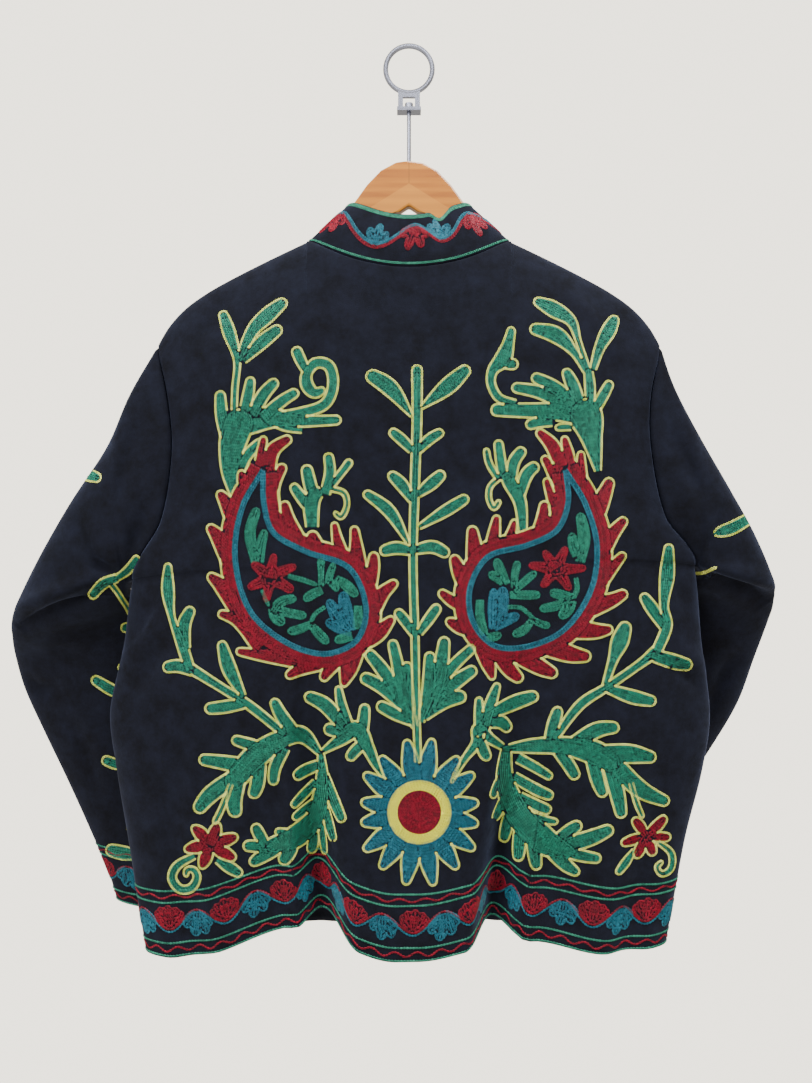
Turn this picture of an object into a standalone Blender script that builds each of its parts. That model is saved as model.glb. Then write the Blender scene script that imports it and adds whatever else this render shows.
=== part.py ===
"""Embroidered velvet jacket hanging on a wooden hanger, in metres, +Z up.

The back of the jacket faces -Y, and the jacket's own left side is at -X. The
origin is the inside of the hanger ring at its top, where a hook carries it.
"""
import math

import bmesh
import bpy
from mathutils import Vector

MM = 0.001
CLOTH = 2.0 * MM
SEAM_GAP = 0.3 * MM
CENTRE = 1e-6
SAME_PLACE_DIGITS = 6

# How finely the panels are divided
SIDE_ROWS = 12
ARMHOLE_ROWS = 10
SHOULDER_COLUMNS = 9
HALF_NECK_COLUMNS = 10
FRONT_NECK_COLUMNS = 6
COLLAR_ROWS = 4

# The cut at the top of the body, in millimetres
SHOULDER_HALF = 252.0
NECK_HALF = 102.0
BACK_NECK_Z, BACK_NECK_Y = -232.0, -45.0
FRONT_NECK_Z, FRONT_NECK_Y = -268.0, 44.0
ARMPIT_AT = 0.57
ARMHOLE_BACK, ARMHOLE_FRONT = 23.0, 19.0
RIDGE_AT = 0.86
TOP_PULL_FROM, TOP_PULL_POWER = 0.45, 1.4

# How square the body's section is, at the hem and how much softer higher up
BACK_SQUARE, BACK_SOFT, BACK_SOFTER = 3.4, 0.5, 0.35
FRONT_SQUARE, FRONT_SOFT, FRONT_SOFTER = 2.3, 0.6, 0.3
SOFTER_OVER = 0.25
ARMHOLE_SQUARE = 0.4
FOLD_NARROWS = 0.25
FOLD_OFF_SEAM, RIDGE_OFF_SEAM = 10, 12
COLUMN_CROWDING = 1.5
SLEEVE_SQUARE = 0.8

# The centre front hangs open a little, wider at the hem
FRONT_GAP_TOP, FRONT_GAP_HEM = 3.0, 8.0

# The stand collar
COLLAR_TOP_X, COLLAR_TOP_Y, COLLAR_FRONT_X = 0.60, 0.86, 0.25
COLLAR_RISE_BACK, COLLAR_RISE_SIDE, COLLAR_RISE_FRONT = 51.0, 34.0, 44.0
COLLAR_BOW, COLLAR_BOW_FULL_Y = 3.0, 20.0
COLLAR_KINK_X, COLLAR_KINK_HALF, COLLAR_KINK_Y = 30.0, 9.0, -10.0
COLLAR_KINK_DROP, COLLAR_KINK_IN = 6.0, 5.0

# The hanger
BOARD_THICK = 12.0 * MM
BOARD_EDGE = 4.0 * MM
BOARD_WELD = 0.05 * MM
PIN_RADIUS = 2.0 * MM
PIN_HEAD_RADIUS, PIN_HEAD_TALL = 4.0 * MM, 5.0 * MM
JOIN = 1.0 * MM
BOARD_TOP_Z = -115.0 * MM
RING_RADIUS, RING_WIRE = 23.5 * MM, 2.5 * MM
NECK_TOP_Z, NECK_FOOT_Z = -44.0 * MM, -61.0 * MM
NECK_WIDE, NECK_THICK = 22.0 * MM, 4.0 * MM
WINDOW_WIDE, WINDOW_TOP_Z = 12.0 * MM, -49.5 * MM
LIP_WIDE, LIP_DEEP, LIP_TALL = 24.0 * MM, 12.0 * MM, 3.5 * MM
CUT_PAST = 4.0 * MM
PIN_SIDES, RING_STEPS, RING_SIDES = 20, 40, 10

# Edges bent more than this, in degrees, stay crisp or are rounded
CRISP_CLOTH, CRISP_METAL, BOARD_CORNER = 50, 30, 60


def table(columns, *rows):
    """A table with named columns: one list of values for each name."""
    names = columns.split()
    return {name: [row[k] for row in rows] for k, name in enumerate(names)}


# The two sides of the body from hem to shoulder tip: side seam up to the
# armpit, armhole seam above it. Millimetres, "at" is the share of the height.
EDGES = table(
    "at    left_x left_z right_x right_z seam_y",
    (0.00, -258, -895, 252, -887, -22),
    (0.08, -267, -850, 261, -846, -17),
    (0.17, -278, -790, 274, -786, -12),
    (0.27, -290, -722, 291, -722, -10),
    (0.37, -297, -664, 299, -666, -9),
    (0.47, -284, -602, 291, -596, -8),
    (0.57, -275, -534, 284, -520, -7),
    (0.63, -262, -508, 272, -499, -6),
    (0.69, -243, -476, 251, -472, -5),
    (0.79, -233, -410, 238, -410, -3),
    (0.89, -238, -356, 238, -358, -1),
    (1.00, -252, -300, 252, -300, 0),
)

# How far the middle of the back and of the front stands from the hanger
MIDDLES = table(
    "at    back_y front_y",
    (0.00, -61, 42),
    (0.20, -60, 38),
    (0.40, -57, 34),
    (0.60, -55, 33),
    (0.80, -55, 36),
    (1.00, -46, 40),
)

# The line of the shoulder, half of it, from the neck point to the tip
SHOULDER = table(
    "x    z",
    (102, -196),
    (140, -214),
    (178, -233),
    (203, -247),
    (225, -263),
    (241, -281),
    (252, -300),
)

# Folds that run up from the hem. "across" is the fold's place from the centre
# in shares of the half width, depth is towards the inside, lift is how far the
# hem rises in the fold, and the two widths lie on its -X and +X sides.
BACK_FOLDS = table(
    "across fades_at depth lift wide_low wide_high",
    (-0.328, 0.52, 52, 11, 26, 40),
    (-0.46, 0.46, 26, 6, 110, 34),
    (0.335, 0.50, 54, 8, 30, 32),
    (0.50, 0.40, 12, 3, 40, 70),
    (-0.80, 0.34, 9, 0, 26, 30),
    (0.83, 0.44, 8, 0, 26, 26),
    (-0.328, 0.50, 0, 20, 120, 75),
    (0.335, 0.50, 0, 12, 75, 110),
)
FRONT_FOLDS = table(
    "across fades_at depth lift wide_low wide_high",
    (-0.60, 0.50, 22, 5, 42, 34),
    (-0.26, 0.38, 12, 3, 26, 30),
    (0.36, 0.46, 16, 4, 30, 34),
    (0.67, 0.42, 18, 4, 30, 40),
)

# The sleeves, ring by ring from the armhole to the cuff: the outer and the
# inner end of each flattened ring, its middle's depth and half its thickness.
LEFT_SLEEVE = table(
    "outer_x outer_z inner_x inner_z middle_y half",
    (-276, -345, -281, -537, -1, 34),
    (-300, -399, -282, -540, 1, 38),
    (-339, -458, -283, -543, 3, 40),
    (-374, -519, -284, -547, 5, 41),
    (-398, -570, -283, -551, 8, 42),
    (-405, -594, -277, -556, 21, 36),
    (-411, -618, -269, -573, 41, 29),
    (-406, -653, -264, -617, 52, 27),
    (-387, -699, -253, -670, 56, 26),
    (-364, -749, -240, -722, 58, 25),
    (-341, -801, -215, -782, 59, 24),
    (-321, -848, -195, -842, 59, 23),
    (-312, -876, -183, -890, 59, 23),
)
RIGHT_SLEEVE = table(
    "outer_x outer_z inner_x inner_z middle_y half",
    (265, -345, 287, -523, -1, 34),
    (290, -392, 288, -525, 1, 38),
    (318, -440, 289, -527, 3, 40),
    (344, -486, 290, -530, 5, 41),
    (364, -530, 289, -533, 8, 40),
    (374, -554, 284, -540, 22, 34),
    (376, -580, 276, -554, 43, 28),
    (366, -620, 268, -598, 54, 26),
    (350, -668, 244, -640, 58, 25),
    (322, -718, 213, -673, 61, 24),
    (288, -770, 172, -716, 62, 23),
    (260, -815, 141, -766, 62, 22),
    (247, -846, 127, -806, 62, 22),
)

# The upper edge of the wooden board, half of it, then its lower edge
BOARD_TOP = table(
    "x    z",
    (0, -115.0),
    (14, -117.0),
    (28, -124.5),
    (42, -139.0),
    (55, -157.0),
    (66, -173.0),
    (80, -188.5),
    (100, -203.5),
    (140, -220.5),
    (178, -239.5),
    (200, -252.5),
    (208, -260.0),
)
BOARD_FOOT = table(
    "x    z",
    (208, -271.0),
    (194, -272.0),
    (150, -252.0),
    (100, -230.0),
    (66, -208.0),
    (40, -184.0),
    (20, -169.0),
    (9, -166.0),
    (0, -160.0),
)


def smooth(at, values, x):
    """The value at x on a smooth curve through a table's rows."""
    if x <= at[0]:
        return values[0]
    if x >= at[-1]:
        return values[-1]
    k = max(i for i in range(len(at) - 1) if at[i] <= x)

    def slope(i):
        low, high = max(i - 1, 0), min(i + 1, len(at) - 1)
        return (values[high] - values[low]) / (at[high] - at[low])

    span = at[k + 1] - at[k]
    t = (x - at[k]) / span
    return (
        values[k] * (2 * t**3 - 3 * t**2 + 1)
        + values[k + 1] * (3 * t**2 - 2 * t**3)
        + slope(k) * span * (t**3 - 2 * t**2 + t)
        + slope(k + 1) * span * (t**3 - t**2)
    )


def ease(t):
    """A smooth step from 0 to 1."""
    t = min(max(t, 0.0), 1.0)
    return t * t * (3 - 2 * t)


def fold_drop(folds, u, v, half_width):
    """Depth and hem lift of all the folds at one place of a panel."""
    depth = lift = 0.0
    for k, across in enumerate(folds["across"]):
        reach = v / folds["fades_at"][k]
        away = (u - across) * half_width
        wide = folds["wide_low"][k] if away < 0 else folds["wide_high"][k]
        wide *= 1 - FOLD_NARROWS * min(reach, 1.0)
        if reach < 1 and abs(away) < wide:
            share = math.cos(math.pi / 2 * away / wide) ** 2 * (1 - ease(reach))
            depth += folds["depth"][k] * share
            lift += folds["lift"][k] * share * max(0.0, 1 - 2 * reach)
    return depth, lift


def top_line(u, neck_y, neck_z):
    """Y and Z of the shoulder and neck line above one column."""
    x = abs(u) * SHOULDER_HALF
    if x >= NECK_HALF - CENTRE:
        return 0.0, smooth(SHOULDER["x"], SHOULDER["z"], x)
    share = x / NECK_HALF
    return neck_y * math.sqrt(1 - share**2), neck_z + (SHOULDER["z"][0] - neck_z) * share**2


def body_point(face, u, v):
    """A point of the body's outer skin: u runs from side to side, v up."""
    outward = -1 if face == "back" else 1
    neck_y, neck_z = (BACK_NECK_Y, BACK_NECK_Z) if face == "back" else (FRONT_NECK_Y, FRONT_NECK_Z)
    across = (1 + u) / 2
    left_x = smooth(EDGES["at"], EDGES["left_x"], v)
    right_x = smooth(EDGES["at"], EDGES["right_x"], v)
    left_z = smooth(EDGES["at"], EDGES["left_z"], v)
    right_z = smooth(EDGES["at"], EDGES["right_z"], v)
    x = left_x + (right_x - left_x) * across
    z = left_z + (right_z - left_z) * across
    tips_z = SHOULDER["z"][-1]
    top_y, top_z = top_line(u, neck_y, neck_z)
    pull = max(0.0, (v - TOP_PULL_FROM) / (1 - TOP_PULL_FROM)) ** TOP_PULL_POWER
    z += (top_z - tips_z) * pull

    armhole = ARMHOLE_BACK if face == "back" else ARMHOLE_FRONT
    share = max(0.0, (v - ARMPIT_AT) / (1 - ARMPIT_AT))
    opened = max(0.0, 1 - (1 - 2 * share) ** 2) ** ARMHOLE_SQUARE
    edge_y = smooth(EDGES["at"], EDGES["seam_y"], v) + outward * armhole * opened
    middle_y = smooth(MIDDLES["at"], MIDDLES[face + "_y"], v)
    above = ease((v - ARMPIT_AT) / SOFTER_OVER)
    if face == "back":
        swell = (1 - abs(u) ** BACK_SQUARE) ** (BACK_SOFT + BACK_SOFTER * above)
    else:
        swell = (1 - abs(u) ** FRONT_SQUARE) ** (FRONT_SOFT + FRONT_SOFTER * above)
    y = edge_y + (middle_y - edge_y) * swell
    if v > RIDGE_AT:
        over = math.sqrt(max(0.0, 1 - ((v - RIDGE_AT) / (1 - RIDGE_AT)) ** 2))
        y = top_y + (y - top_y) * over + edge_y * (1 - over) * abs(u) ** RIDGE_OFF_SEAM

    folds = BACK_FOLDS if face == "back" else FRONT_FOLDS
    depth, lift = fold_drop(folds, u, v, (right_x - left_x) / 2)
    inside = 1 - abs(u) ** FOLD_OFF_SEAM
    y -= outward * depth * inside
    z += lift * inside
    if face == "front":
        gap = FRONT_GAP_HEM + (FRONT_GAP_TOP - FRONT_GAP_HEM) * v
        near = max(0.0, 1 - abs(u) * SHOULDER_HALF / NECK_HALF)
        x += math.copysign(gap * near, u)
    return Vector((x, y, z)) * MM


def side_steps():
    """The heights of the rows, close together at the armpit and over the shoulder."""
    low = [ARMPIT_AT * k / SIDE_ROWS for k in range(SIDE_ROWS)]
    shares = [(1 - math.cos(math.pi * k / ARMHOLE_ROWS)) / 2 for k in range(ARMHOLE_ROWS + 1)]
    return low, [ARMPIT_AT + (1 - ARMPIT_AT) * s for s in shares]


def half_columns(neck_columns):
    """Column places from the centre to the side, closer at the neck point and the side."""
    neck = NECK_HALF / SHOULDER_HALF
    inner = [neck * math.sin(math.pi / 2 * k / neck_columns) for k in range(neck_columns)]
    outer = [
        neck + (1 - neck) * (1 - (1 - k / SHOULDER_COLUMNS) ** COLUMN_CROWDING)
        for k in range(SHOULDER_COLUMNS + 1)
    ]
    return inner + outer


def back_grid():
    """Rows of points of the back, each from -X to +X."""
    half = half_columns(HALF_NECK_COLUMNS)
    columns = [-u for u in reversed(half)] + half[1:]
    low, high = side_steps()
    return [[body_point("back", u, v) for u in columns] for v in low + high]


def front_grid(side):
    """Rows of points of one front, each from +X to -X."""
    half = half_columns(FRONT_NECK_COLUMNS)
    half[0] = CENTRE
    columns = [side * u for u in (reversed(half) if side > 0 else half)]
    low, high = side_steps()
    return [[body_point("front", u, v) for u in columns] for v in low + high]


def armhole_loop(side):
    """The armhole seam: up its back from the armpit and down its front."""
    high = side_steps()[1]
    up = [body_point("back", side, v) for v in high]
    down = [body_point("front", side, v) for v in reversed(high)]
    return up + down[1:-1]


def sleeve_grid(side):
    """Rings of points of one sleeve, from the armhole to the cuff."""
    rings = RIGHT_SLEEVE if side > 0 else LEFT_SLEEVE
    loop = armhole_loop(side)
    grid = [loop]
    for k in range(len(rings["half"])):
        outer = Vector((rings["outer_x"][k], rings["middle_y"][k], rings["outer_z"][k]))
        inner = Vector((rings["inner_x"][k], rings["middle_y"][k], rings["inner_z"][k]))
        middle, reach = (outer + inner) / 2, (inner - outer) / 2
        ring = []
        for j in range(len(loop)):
            turn = 2 * math.pi * j / len(loop)
            rise = math.copysign(abs(math.sin(turn)) ** SLEEVE_SQUARE, math.sin(turn))
            ring.append((middle + reach * math.cos(turn) - Vector((0, rise * rings["half"][k], 0))) * MM)
        grid.append(ring)
    if side > 0:
        grid = [[ring[0]] + ring[:0:-1] for ring in grid]
    return grid


def collar_grid(back, fronts):
    """Rows of the stand collar on the neck seam, from the left centre front round."""
    left, right = fronts
    count = FRONT_NECK_COLUMNS
    seam = left[-1][:count] + back[-1][SHOULDER_COLUMNS:-SHOULDER_COLUMNS] + right[-1][-count:]
    grid = []
    for row in range(COLLAR_ROWS + 1):
        share = row / COLLAR_ROWS
        line = []
        for base in seam:
            x, y, z = base / MM
            round_back = y / BACK_NECK_Y if y < 0 else 0.0
            round_front = y / FRONT_NECK_Y if y > 0 else 0.0
            rise = (
                COLLAR_RISE_SIDE
                + (COLLAR_RISE_BACK - COLLAR_RISE_SIDE) * round_back
                + (COLLAR_RISE_FRONT - COLLAR_RISE_SIDE) * round_front
            )
            top_x = x * (COLLAR_TOP_X + COLLAR_FRONT_X * round_front)
            top_y = y * COLLAR_TOP_Y
            bow = COLLAR_BOW * math.sin(math.pi * share) * min(1.0, abs(y) / COLLAR_BOW_FULL_Y)
            new_x = x + (top_x - x) * share
            away = abs(new_x - COLLAR_KINK_X) / COLLAR_KINK_HALF
            kink = max(0.0, 1 - away) * share if y < COLLAR_KINK_Y else 0.0
            new_y = y + (top_y - y) * share + math.copysign(bow, y) + COLLAR_KINK_IN * kink
            new_z = z + rise * share - COLLAR_KINK_DROP * kink
            line.append(Vector((new_x, new_y, new_z)) * MM)
        grid.append(line)
    return grid


def point_key(point):
    """One name for all the panel corners that lie at the same place."""
    return tuple(round(c, SAME_PLACE_DIGITS) for c in point)


def add_normals(normals, grid, closed):
    """Adds each cell's outward direction to its four corners."""
    for low, high in zip(grid, grid[1:]):
        for j in range(len(low) if closed else len(low) - 1):
            n = (j + 1) % len(low)
            a, b, c, d = low[j], low[n], high[n], high[j]
            outward = (c - a).cross(d - b).normalized()
            for corner in (a, b, c, d):
                key = point_key(corner)
                normals[key] = normals.get(key, Vector()) + outward


def off_the_seam(point, inner, before, after):
    """The way from a seam into its panel, square to the seam."""
    along = (after - before).normalized()
    way = inner - point
    return (way - along * way.dot(along)).normalized()


def pulled(grid, i, j, closed):
    """Where a point goes when its panel is trimmed by half the seam gap."""
    rows, columns = len(grid), len(grid[0])
    point = grid[i][j]
    moved = point.copy()
    if i in (0, rows - 1):
        inner = grid[1][j] if i == 0 else grid[-2][j]
        before = grid[i][(j - 1) % columns if closed else max(j - 1, 0)]
        after = grid[i][(j + 1) % columns if closed else min(j + 1, columns - 1)]
        moved += off_the_seam(point, inner, before, after) * SEAM_GAP * (1.0 if closed else 0.5)
    if not closed and j in (0, columns - 1):
        inner = grid[i][1] if j == 0 else grid[i][-2]
        before, after = grid[max(i - 1, 0)][j], grid[min(i + 1, rows - 1)][j]
        moved += off_the_seam(point, inner, before, after) * SEAM_GAP / 2
    return moved


def make_material(name, colour, roughness, metallic=0.0):
    """A plain finish for one kind of piece."""
    material = bpy.data.materials.new(name)
    material.use_nodes = True
    shader = material.node_tree.nodes["Principled BSDF"]
    shader.inputs["Base Color"].default_value = (*colour, 1.0)
    shader.inputs["Roughness"].default_value = roughness
    shader.inputs["Metallic"].default_value = metallic
    return material


def finish_object(obj, material, collection, crisp=CRISP_CLOTH):
    """Puts a piece in the jacket's collection with its material and shading."""
    for other in list(obj.users_collection):
        other.objects.unlink(obj)
    collection.objects.link(obj)
    obj.data.materials.clear()
    obj.data.materials.append(material)
    if obj.type == "MESH":
        obj.data.shade_smooth()
        obj.data.set_sharp_from_angle(angle=math.radians(crisp))
    return obj


def add_quad(bm, a, b, c, d):
    """Two triangles that share the line from a to c."""
    bm.faces.new((a, b, c))
    bm.faces.new((a, c, d))


def add_rim(bm, points, outer, inner):
    """The cut edge between two neighbours, split alike on both sides of a seam."""
    if point_key(points[0]) < point_key(points[1]):
        add_quad(bm, outer[0], inner[0], inner[1], outer[1])
    else:
        add_quad(bm, inner[0], inner[1], outer[1], outer[0])


def cloth_wall(name, grid, normals, closed=False):
    """A panel as a closed wall: outer skin, inner skin and the cut edges."""
    rows, columns = len(grid), len(grid[0])
    bm = bmesh.new()
    skins = []
    for inset in (0.0, CLOTH):
        skin = []
        for i in range(rows):
            line = []
            for j in range(columns):
                inward = -normals[point_key(grid[i][j])].normalized() * inset
                line.append(bm.verts.new(pulled(grid, i, j, closed) + inward))
            skin.append(line)
        skins.append(skin)
    outer, inner = skins
    around = columns if closed else columns - 1
    for i in range(rows - 1):
        for j in range(around):
            n = (j + 1) % columns
            add_quad(bm, outer[i][j], outer[i][n], outer[i + 1][n], outer[i + 1][j])
            add_quad(bm, inner[i + 1][n], inner[i][n], inner[i][j], inner[i + 1][j])

    def rim(first, second):
        (i, j), (k, n) = first, second
        add_rim(
            bm, (grid[i][j], grid[k][n]), (outer[i][j], outer[k][n]), (inner[i][j], inner[k][n])
        )

    for j in range(around):
        n = (j + 1) % columns
        rim((0, j), (0, n))
        rim((rows - 1, n), (rows - 1, j))
    if not closed:
        for i in range(rows - 1):
            rim((i + 1, 0), (i, 0))
            rim((i, columns - 1), (i + 1, columns - 1))
    mesh = bpy.data.meshes.new(name)
    bm.to_mesh(mesh)
    bm.free()
    return bpy.data.objects.new(name, mesh)


def build_cloth(collection, velvet):
    """All the panels, their walls turned in from one common skin."""
    back = back_grid()
    fronts = front_grid(-1), front_grid(1)
    panels = {
        "back": (back, False),
        "front_left": (fronts[0], False),
        "front_right": (fronts[1], False),
        "sleeve_left": (sleeve_grid(-1), True),
        "sleeve_right": (sleeve_grid(1), True),
        "collar": (collar_grid(back, fronts), False),
    }
    normals = {}
    for grid, closed in panels.values():
        add_normals(normals, grid, closed)
    for name, (grid, closed) in panels.items():
        link_scene(cloth_wall(name, grid, normals, closed))
        finish_object(bpy.data.objects[name], velvet, collection)


def link_scene(obj):
    """Links a new object to the scene."""
    bpy.context.scene.collection.objects.link(obj)
    return obj


def build_board(collection, wood):
    """The wooden board: its outline cut from a flat plank, edges rounded."""
    top = list(zip(BOARD_TOP["x"], BOARD_TOP["z"]))
    foot = list(zip(BOARD_FOOT["x"], BOARD_FOOT["z"]))
    half = top + foot
    outline = half + [(-x, z) for x, z in reversed(half) if x > 0]
    curve = bpy.data.curves.new("hanger_wood", "CURVE")
    curve.dimensions = "2D"
    curve.fill_mode = "BOTH"
    curve.extrude = BOARD_THICK / 2
    spline = curve.splines.new("POLY")
    spline.points.add(len(outline) - 1)
    for point, (x, z) in zip(spline.points, outline):
        point.co = (x * MM, z * MM, 0, 1)
    spline.use_cyclic_u = True
    board = link_scene(bpy.data.objects.new("hanger_wood", curve))
    board.rotation_euler = (math.pi / 2, 0, 0)
    weld = board.modifiers.new("weld", "WELD")
    weld.merge_threshold = BOARD_WELD
    bevel = board.modifiers.new("edges", "BEVEL")
    bevel.width = BOARD_EDGE
    bevel.segments = 2
    bevel.limit_method = "ANGLE"
    bevel.angle_limit = math.radians(BOARD_CORNER)
    return finish_object(board, wood, collection)


def add_box(name, low, high, collection):
    """A plain box between two corners."""
    size = [b - a for a, b in zip(low, high)]
    middle = [(a + b) / 2 for a, b in zip(low, high)]
    bpy.ops.mesh.primitive_cube_add(size=1, location=middle)
    box = bpy.context.object
    box.name = name
    for vertex in box.data.vertices:
        vertex.co = Vector([c * s for c, s in zip(vertex.co, size)])
    for other in list(box.users_collection):
        other.objects.unlink(box)
    collection.objects.link(box)
    return box


def use_boolean(obj, cutter, operation):
    """Joins or cuts a piece by another, which is then only a guide."""
    modifier = obj.modifiers.new(cutter.name, "BOOLEAN")
    modifier.operation = operation
    modifier.object = cutter
    cutter.hide_render = True
    cutter.display_type = "WIRE"


def add_cylinder(name, radius, low, high, collection):
    """An upright cylinder on the Z axis."""
    bpy.ops.mesh.primitive_cylinder_add(
        vertices=PIN_SIDES, radius=radius, depth=high - low, location=(0, 0, (low + high) / 2)
    )
    obj = bpy.context.object
    obj.name = name
    for other in list(obj.users_collection):
        other.objects.unlink(obj)
    collection.objects.link(obj)
    return obj


def build_hanger_metal(collection, guides, steel):
    """The pin with its head, and the ring with the flat neck that holds it."""
    head_low = NECK_FOOT_Z + SEAM_GAP
    pin = add_cylinder("hanger_pin", PIN_RADIUS, BOARD_TOP_Z + SEAM_GAP, head_low + JOIN, collection)
    head = add_cylinder("pin_head", PIN_HEAD_RADIUS, head_low, head_low + PIN_HEAD_TALL, guides)
    use_boolean(pin, head, "UNION")
    finish_object(pin, steel, collection, CRISP_METAL)

    bpy.ops.mesh.primitive_torus_add(
        major_segments=RING_STEPS,
        minor_segments=RING_SIDES,
        major_radius=RING_RADIUS,
        minor_radius=RING_WIRE,
        location=(0, 0, RING_WIRE - RING_RADIUS),
        rotation=(math.pi / 2, 0, 0),
    )
    ring = bpy.context.object
    ring.name = "hanger_ring"
    half = NECK_THICK / 2
    neck = add_box(
        "neck", (-NECK_WIDE / 2, -half, NECK_FOOT_Z - JOIN), (NECK_WIDE / 2, half, NECK_TOP_Z), guides
    )
    lip = add_box(
        "lip",
        (-LIP_WIDE / 2, -LIP_DEEP / 2, NECK_FOOT_Z - LIP_TALL),
        (LIP_WIDE / 2, LIP_DEEP / 2, NECK_FOOT_Z),
        guides,
    )
    cut = half + CUT_PAST
    window = add_box(
        "window", (-WINDOW_WIDE / 2, -cut, NECK_FOOT_Z), (WINDOW_WIDE / 2, cut, WINDOW_TOP_Z), guides
    )
    bore = add_cylinder(
        "bore", PIN_RADIUS + SEAM_GAP, NECK_FOOT_Z - 2 * LIP_TALL, NECK_FOOT_Z + JOIN, guides
    )
    use_boolean(ring, neck, "UNION")
    use_boolean(ring, lip, "UNION")
    use_boolean(ring, window, "DIFFERENCE")
    use_boolean(ring, bore, "DIFFERENCE")
    finish_object(ring, steel, collection, CRISP_METAL)


def main():
    for obj in list(bpy.data.objects):
        bpy.data.objects.remove(obj)
    jacket = bpy.data.collections.new("velvet_jacket_on_hanger")
    guides = bpy.data.collections.new("guides")
    bpy.context.scene.collection.children.link(jacket)
    bpy.context.scene.collection.children.link(guides)
    velvet = make_material("black_velvet", (0.011, 0.012, 0.019), 0.9)
    wood = make_material("varnished_beech", (0.66, 0.38, 0.12), 0.4)
    steel = make_material("zinc_plated_steel", (0.55, 0.56, 0.6), 0.35, 1.0)
    build_cloth(jacket, velvet)
    build_board(jacket, wood)
    build_hanger_metal(jacket, guides, steel)


main()
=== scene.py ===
# %% [markdown]
# # An embroidered velvet jacket on its hanger
#
# The jacket hangs with its back towards us. Its real maker cuts six pieces of
# black cotton velvet, sews them together, and covers the back, the hem, the
# cuffs and the collar with chain stitch. Here the cloth is made first, as thin
# shells in the shape that the hung garment takes. The embroidery comes after
# it, because each stitch has to lie on the finished cloth.

import math

import bpy
import numpy as np
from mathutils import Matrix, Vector
from mathutils.bvhtree import BVHTree


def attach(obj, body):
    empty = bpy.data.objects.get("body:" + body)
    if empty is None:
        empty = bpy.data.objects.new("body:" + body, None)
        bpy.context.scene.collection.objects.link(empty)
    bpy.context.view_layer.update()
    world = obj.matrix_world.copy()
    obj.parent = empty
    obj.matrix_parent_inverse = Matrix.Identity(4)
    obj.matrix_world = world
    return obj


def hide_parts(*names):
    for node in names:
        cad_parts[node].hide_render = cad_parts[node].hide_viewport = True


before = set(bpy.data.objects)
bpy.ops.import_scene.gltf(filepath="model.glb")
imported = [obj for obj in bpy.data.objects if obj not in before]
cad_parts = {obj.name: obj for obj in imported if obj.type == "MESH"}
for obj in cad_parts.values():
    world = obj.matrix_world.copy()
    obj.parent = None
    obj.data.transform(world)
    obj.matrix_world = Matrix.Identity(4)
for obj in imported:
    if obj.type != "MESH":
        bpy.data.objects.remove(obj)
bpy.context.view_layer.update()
MM = 0.001
print("frame nodes:", ", ".join(sorted(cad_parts)))

# %% [markdown]
# ## Where we stand
#
# The camera looks level at the middle of the jacket from less than a metre
# away, as someone with a phone would. That is close, so what lies deeper looks
# smaller. The lens is worked out from the frame's height in pixels. The same
# numbers later tell where a drawn motif lands on the cloth.

# %% Camera
PHOTO_WIDE, PHOTO_TALL = 812, 1083
EYE = Vector((-3, -908, -496)) * MM
LENS_MM, FILM_MM = 30.0, 36.0
PIXELS_PER_SLOPE = LENS_MM / FILM_MM * PHOTO_TALL

camera_data = bpy.data.cameras.new("camera")
camera_data.lens = LENS_MM
camera_data.sensor_width = FILM_MM
camera = bpy.data.objects.new("camera", camera_data)
camera.location = EYE
camera.rotation_euler = (math.pi / 2, 0, 0)
bpy.context.scene.collection.objects.link(camera)
bpy.context.scene.camera = camera
print("camera stands", round(-EYE.y, 3), "m behind the hanger")

# %% [markdown]
# ## The cut, in tables
#
# These are the sizes of the garment, in millimetres. Each row is a section or
# a fold. "at" and "fades_at" are shares of the way from the hem to the
# shoulder, and "across" is a share of the half width. The same rows shaped the
# solid model, so the cloth lies where the solids are.

# %% Tables of the body and its folds
def table(columns, *rows):
    """A table with named columns: one array of values for each name."""
    return {name: np.array([row[k] for row in rows], float) for k, name in enumerate(columns.split())}


SHOULDER_HALF, NECK_HALF = 252.0, 102.0
BACK_NECK_Z, BACK_NECK_Y = -232.0, -45.0
FRONT_NECK_Z, FRONT_NECK_Y = -268.0, 44.0
ARMPIT_AT, RIDGE_AT, TOP_PULL_FROM = 0.57, 0.86, 0.45
ARMHOLE_BACK, ARMHOLE_FRONT = 23.0, 19.0
FRONT_GAP_TOP, FRONT_GAP_HEM = 3.0, 8.0

EDGES = table(
    "at    left_x left_z right_x right_z seam_y",
    (0.00, -258, -895, 252, -887, -22),
    (0.08, -267, -850, 261, -846, -17),
    (0.17, -278, -790, 274, -786, -12),
    (0.27, -290, -722, 291, -722, -10),
    (0.37, -297, -664, 299, -666, -9),
    (0.47, -284, -602, 291, -596, -8),
    (0.57, -275, -534, 284, -520, -7),
    (0.63, -262, -508, 272, -499, -6),
    (0.69, -243, -476, 251, -472, -5),
    (0.79, -233, -410, 238, -410, -3),
    (0.89, -238, -356, 238, -358, -1),
    (1.00, -252, -300, 252, -300, 0),
)
MIDDLES = table(
    "at    back_y front_y",
    (0.00, -61, 42),
    (0.20, -60, 38),
    (0.40, -57, 34),
    (0.60, -55, 33),
    (0.80, -55, 36),
    (1.00, -46, 40),
)
SHOULDER = table(
    "x    z",
    (102, -196),
    (140, -214),
    (178, -233),
    (203, -247),
    (225, -263),
    (241, -281),
    (252, -300),
)
BACK_FOLDS = table(
    "across fades_at depth lift wide_low wide_high",
    (-0.328, 0.52, 52, 11, 26, 40),
    (-0.46, 0.46, 26, 6, 110, 34),
    (0.335, 0.50, 54, 8, 30, 32),
    (0.50, 0.40, 12, 3, 40, 70),
    (-0.80, 0.34, 9, 0, 26, 30),
    (0.83, 0.44, 8, 0, 26, 26),
    (-0.328, 0.50, 0, 20, 120, 75),
    (0.335, 0.50, 0, 12, 75, 110),
)
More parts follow.
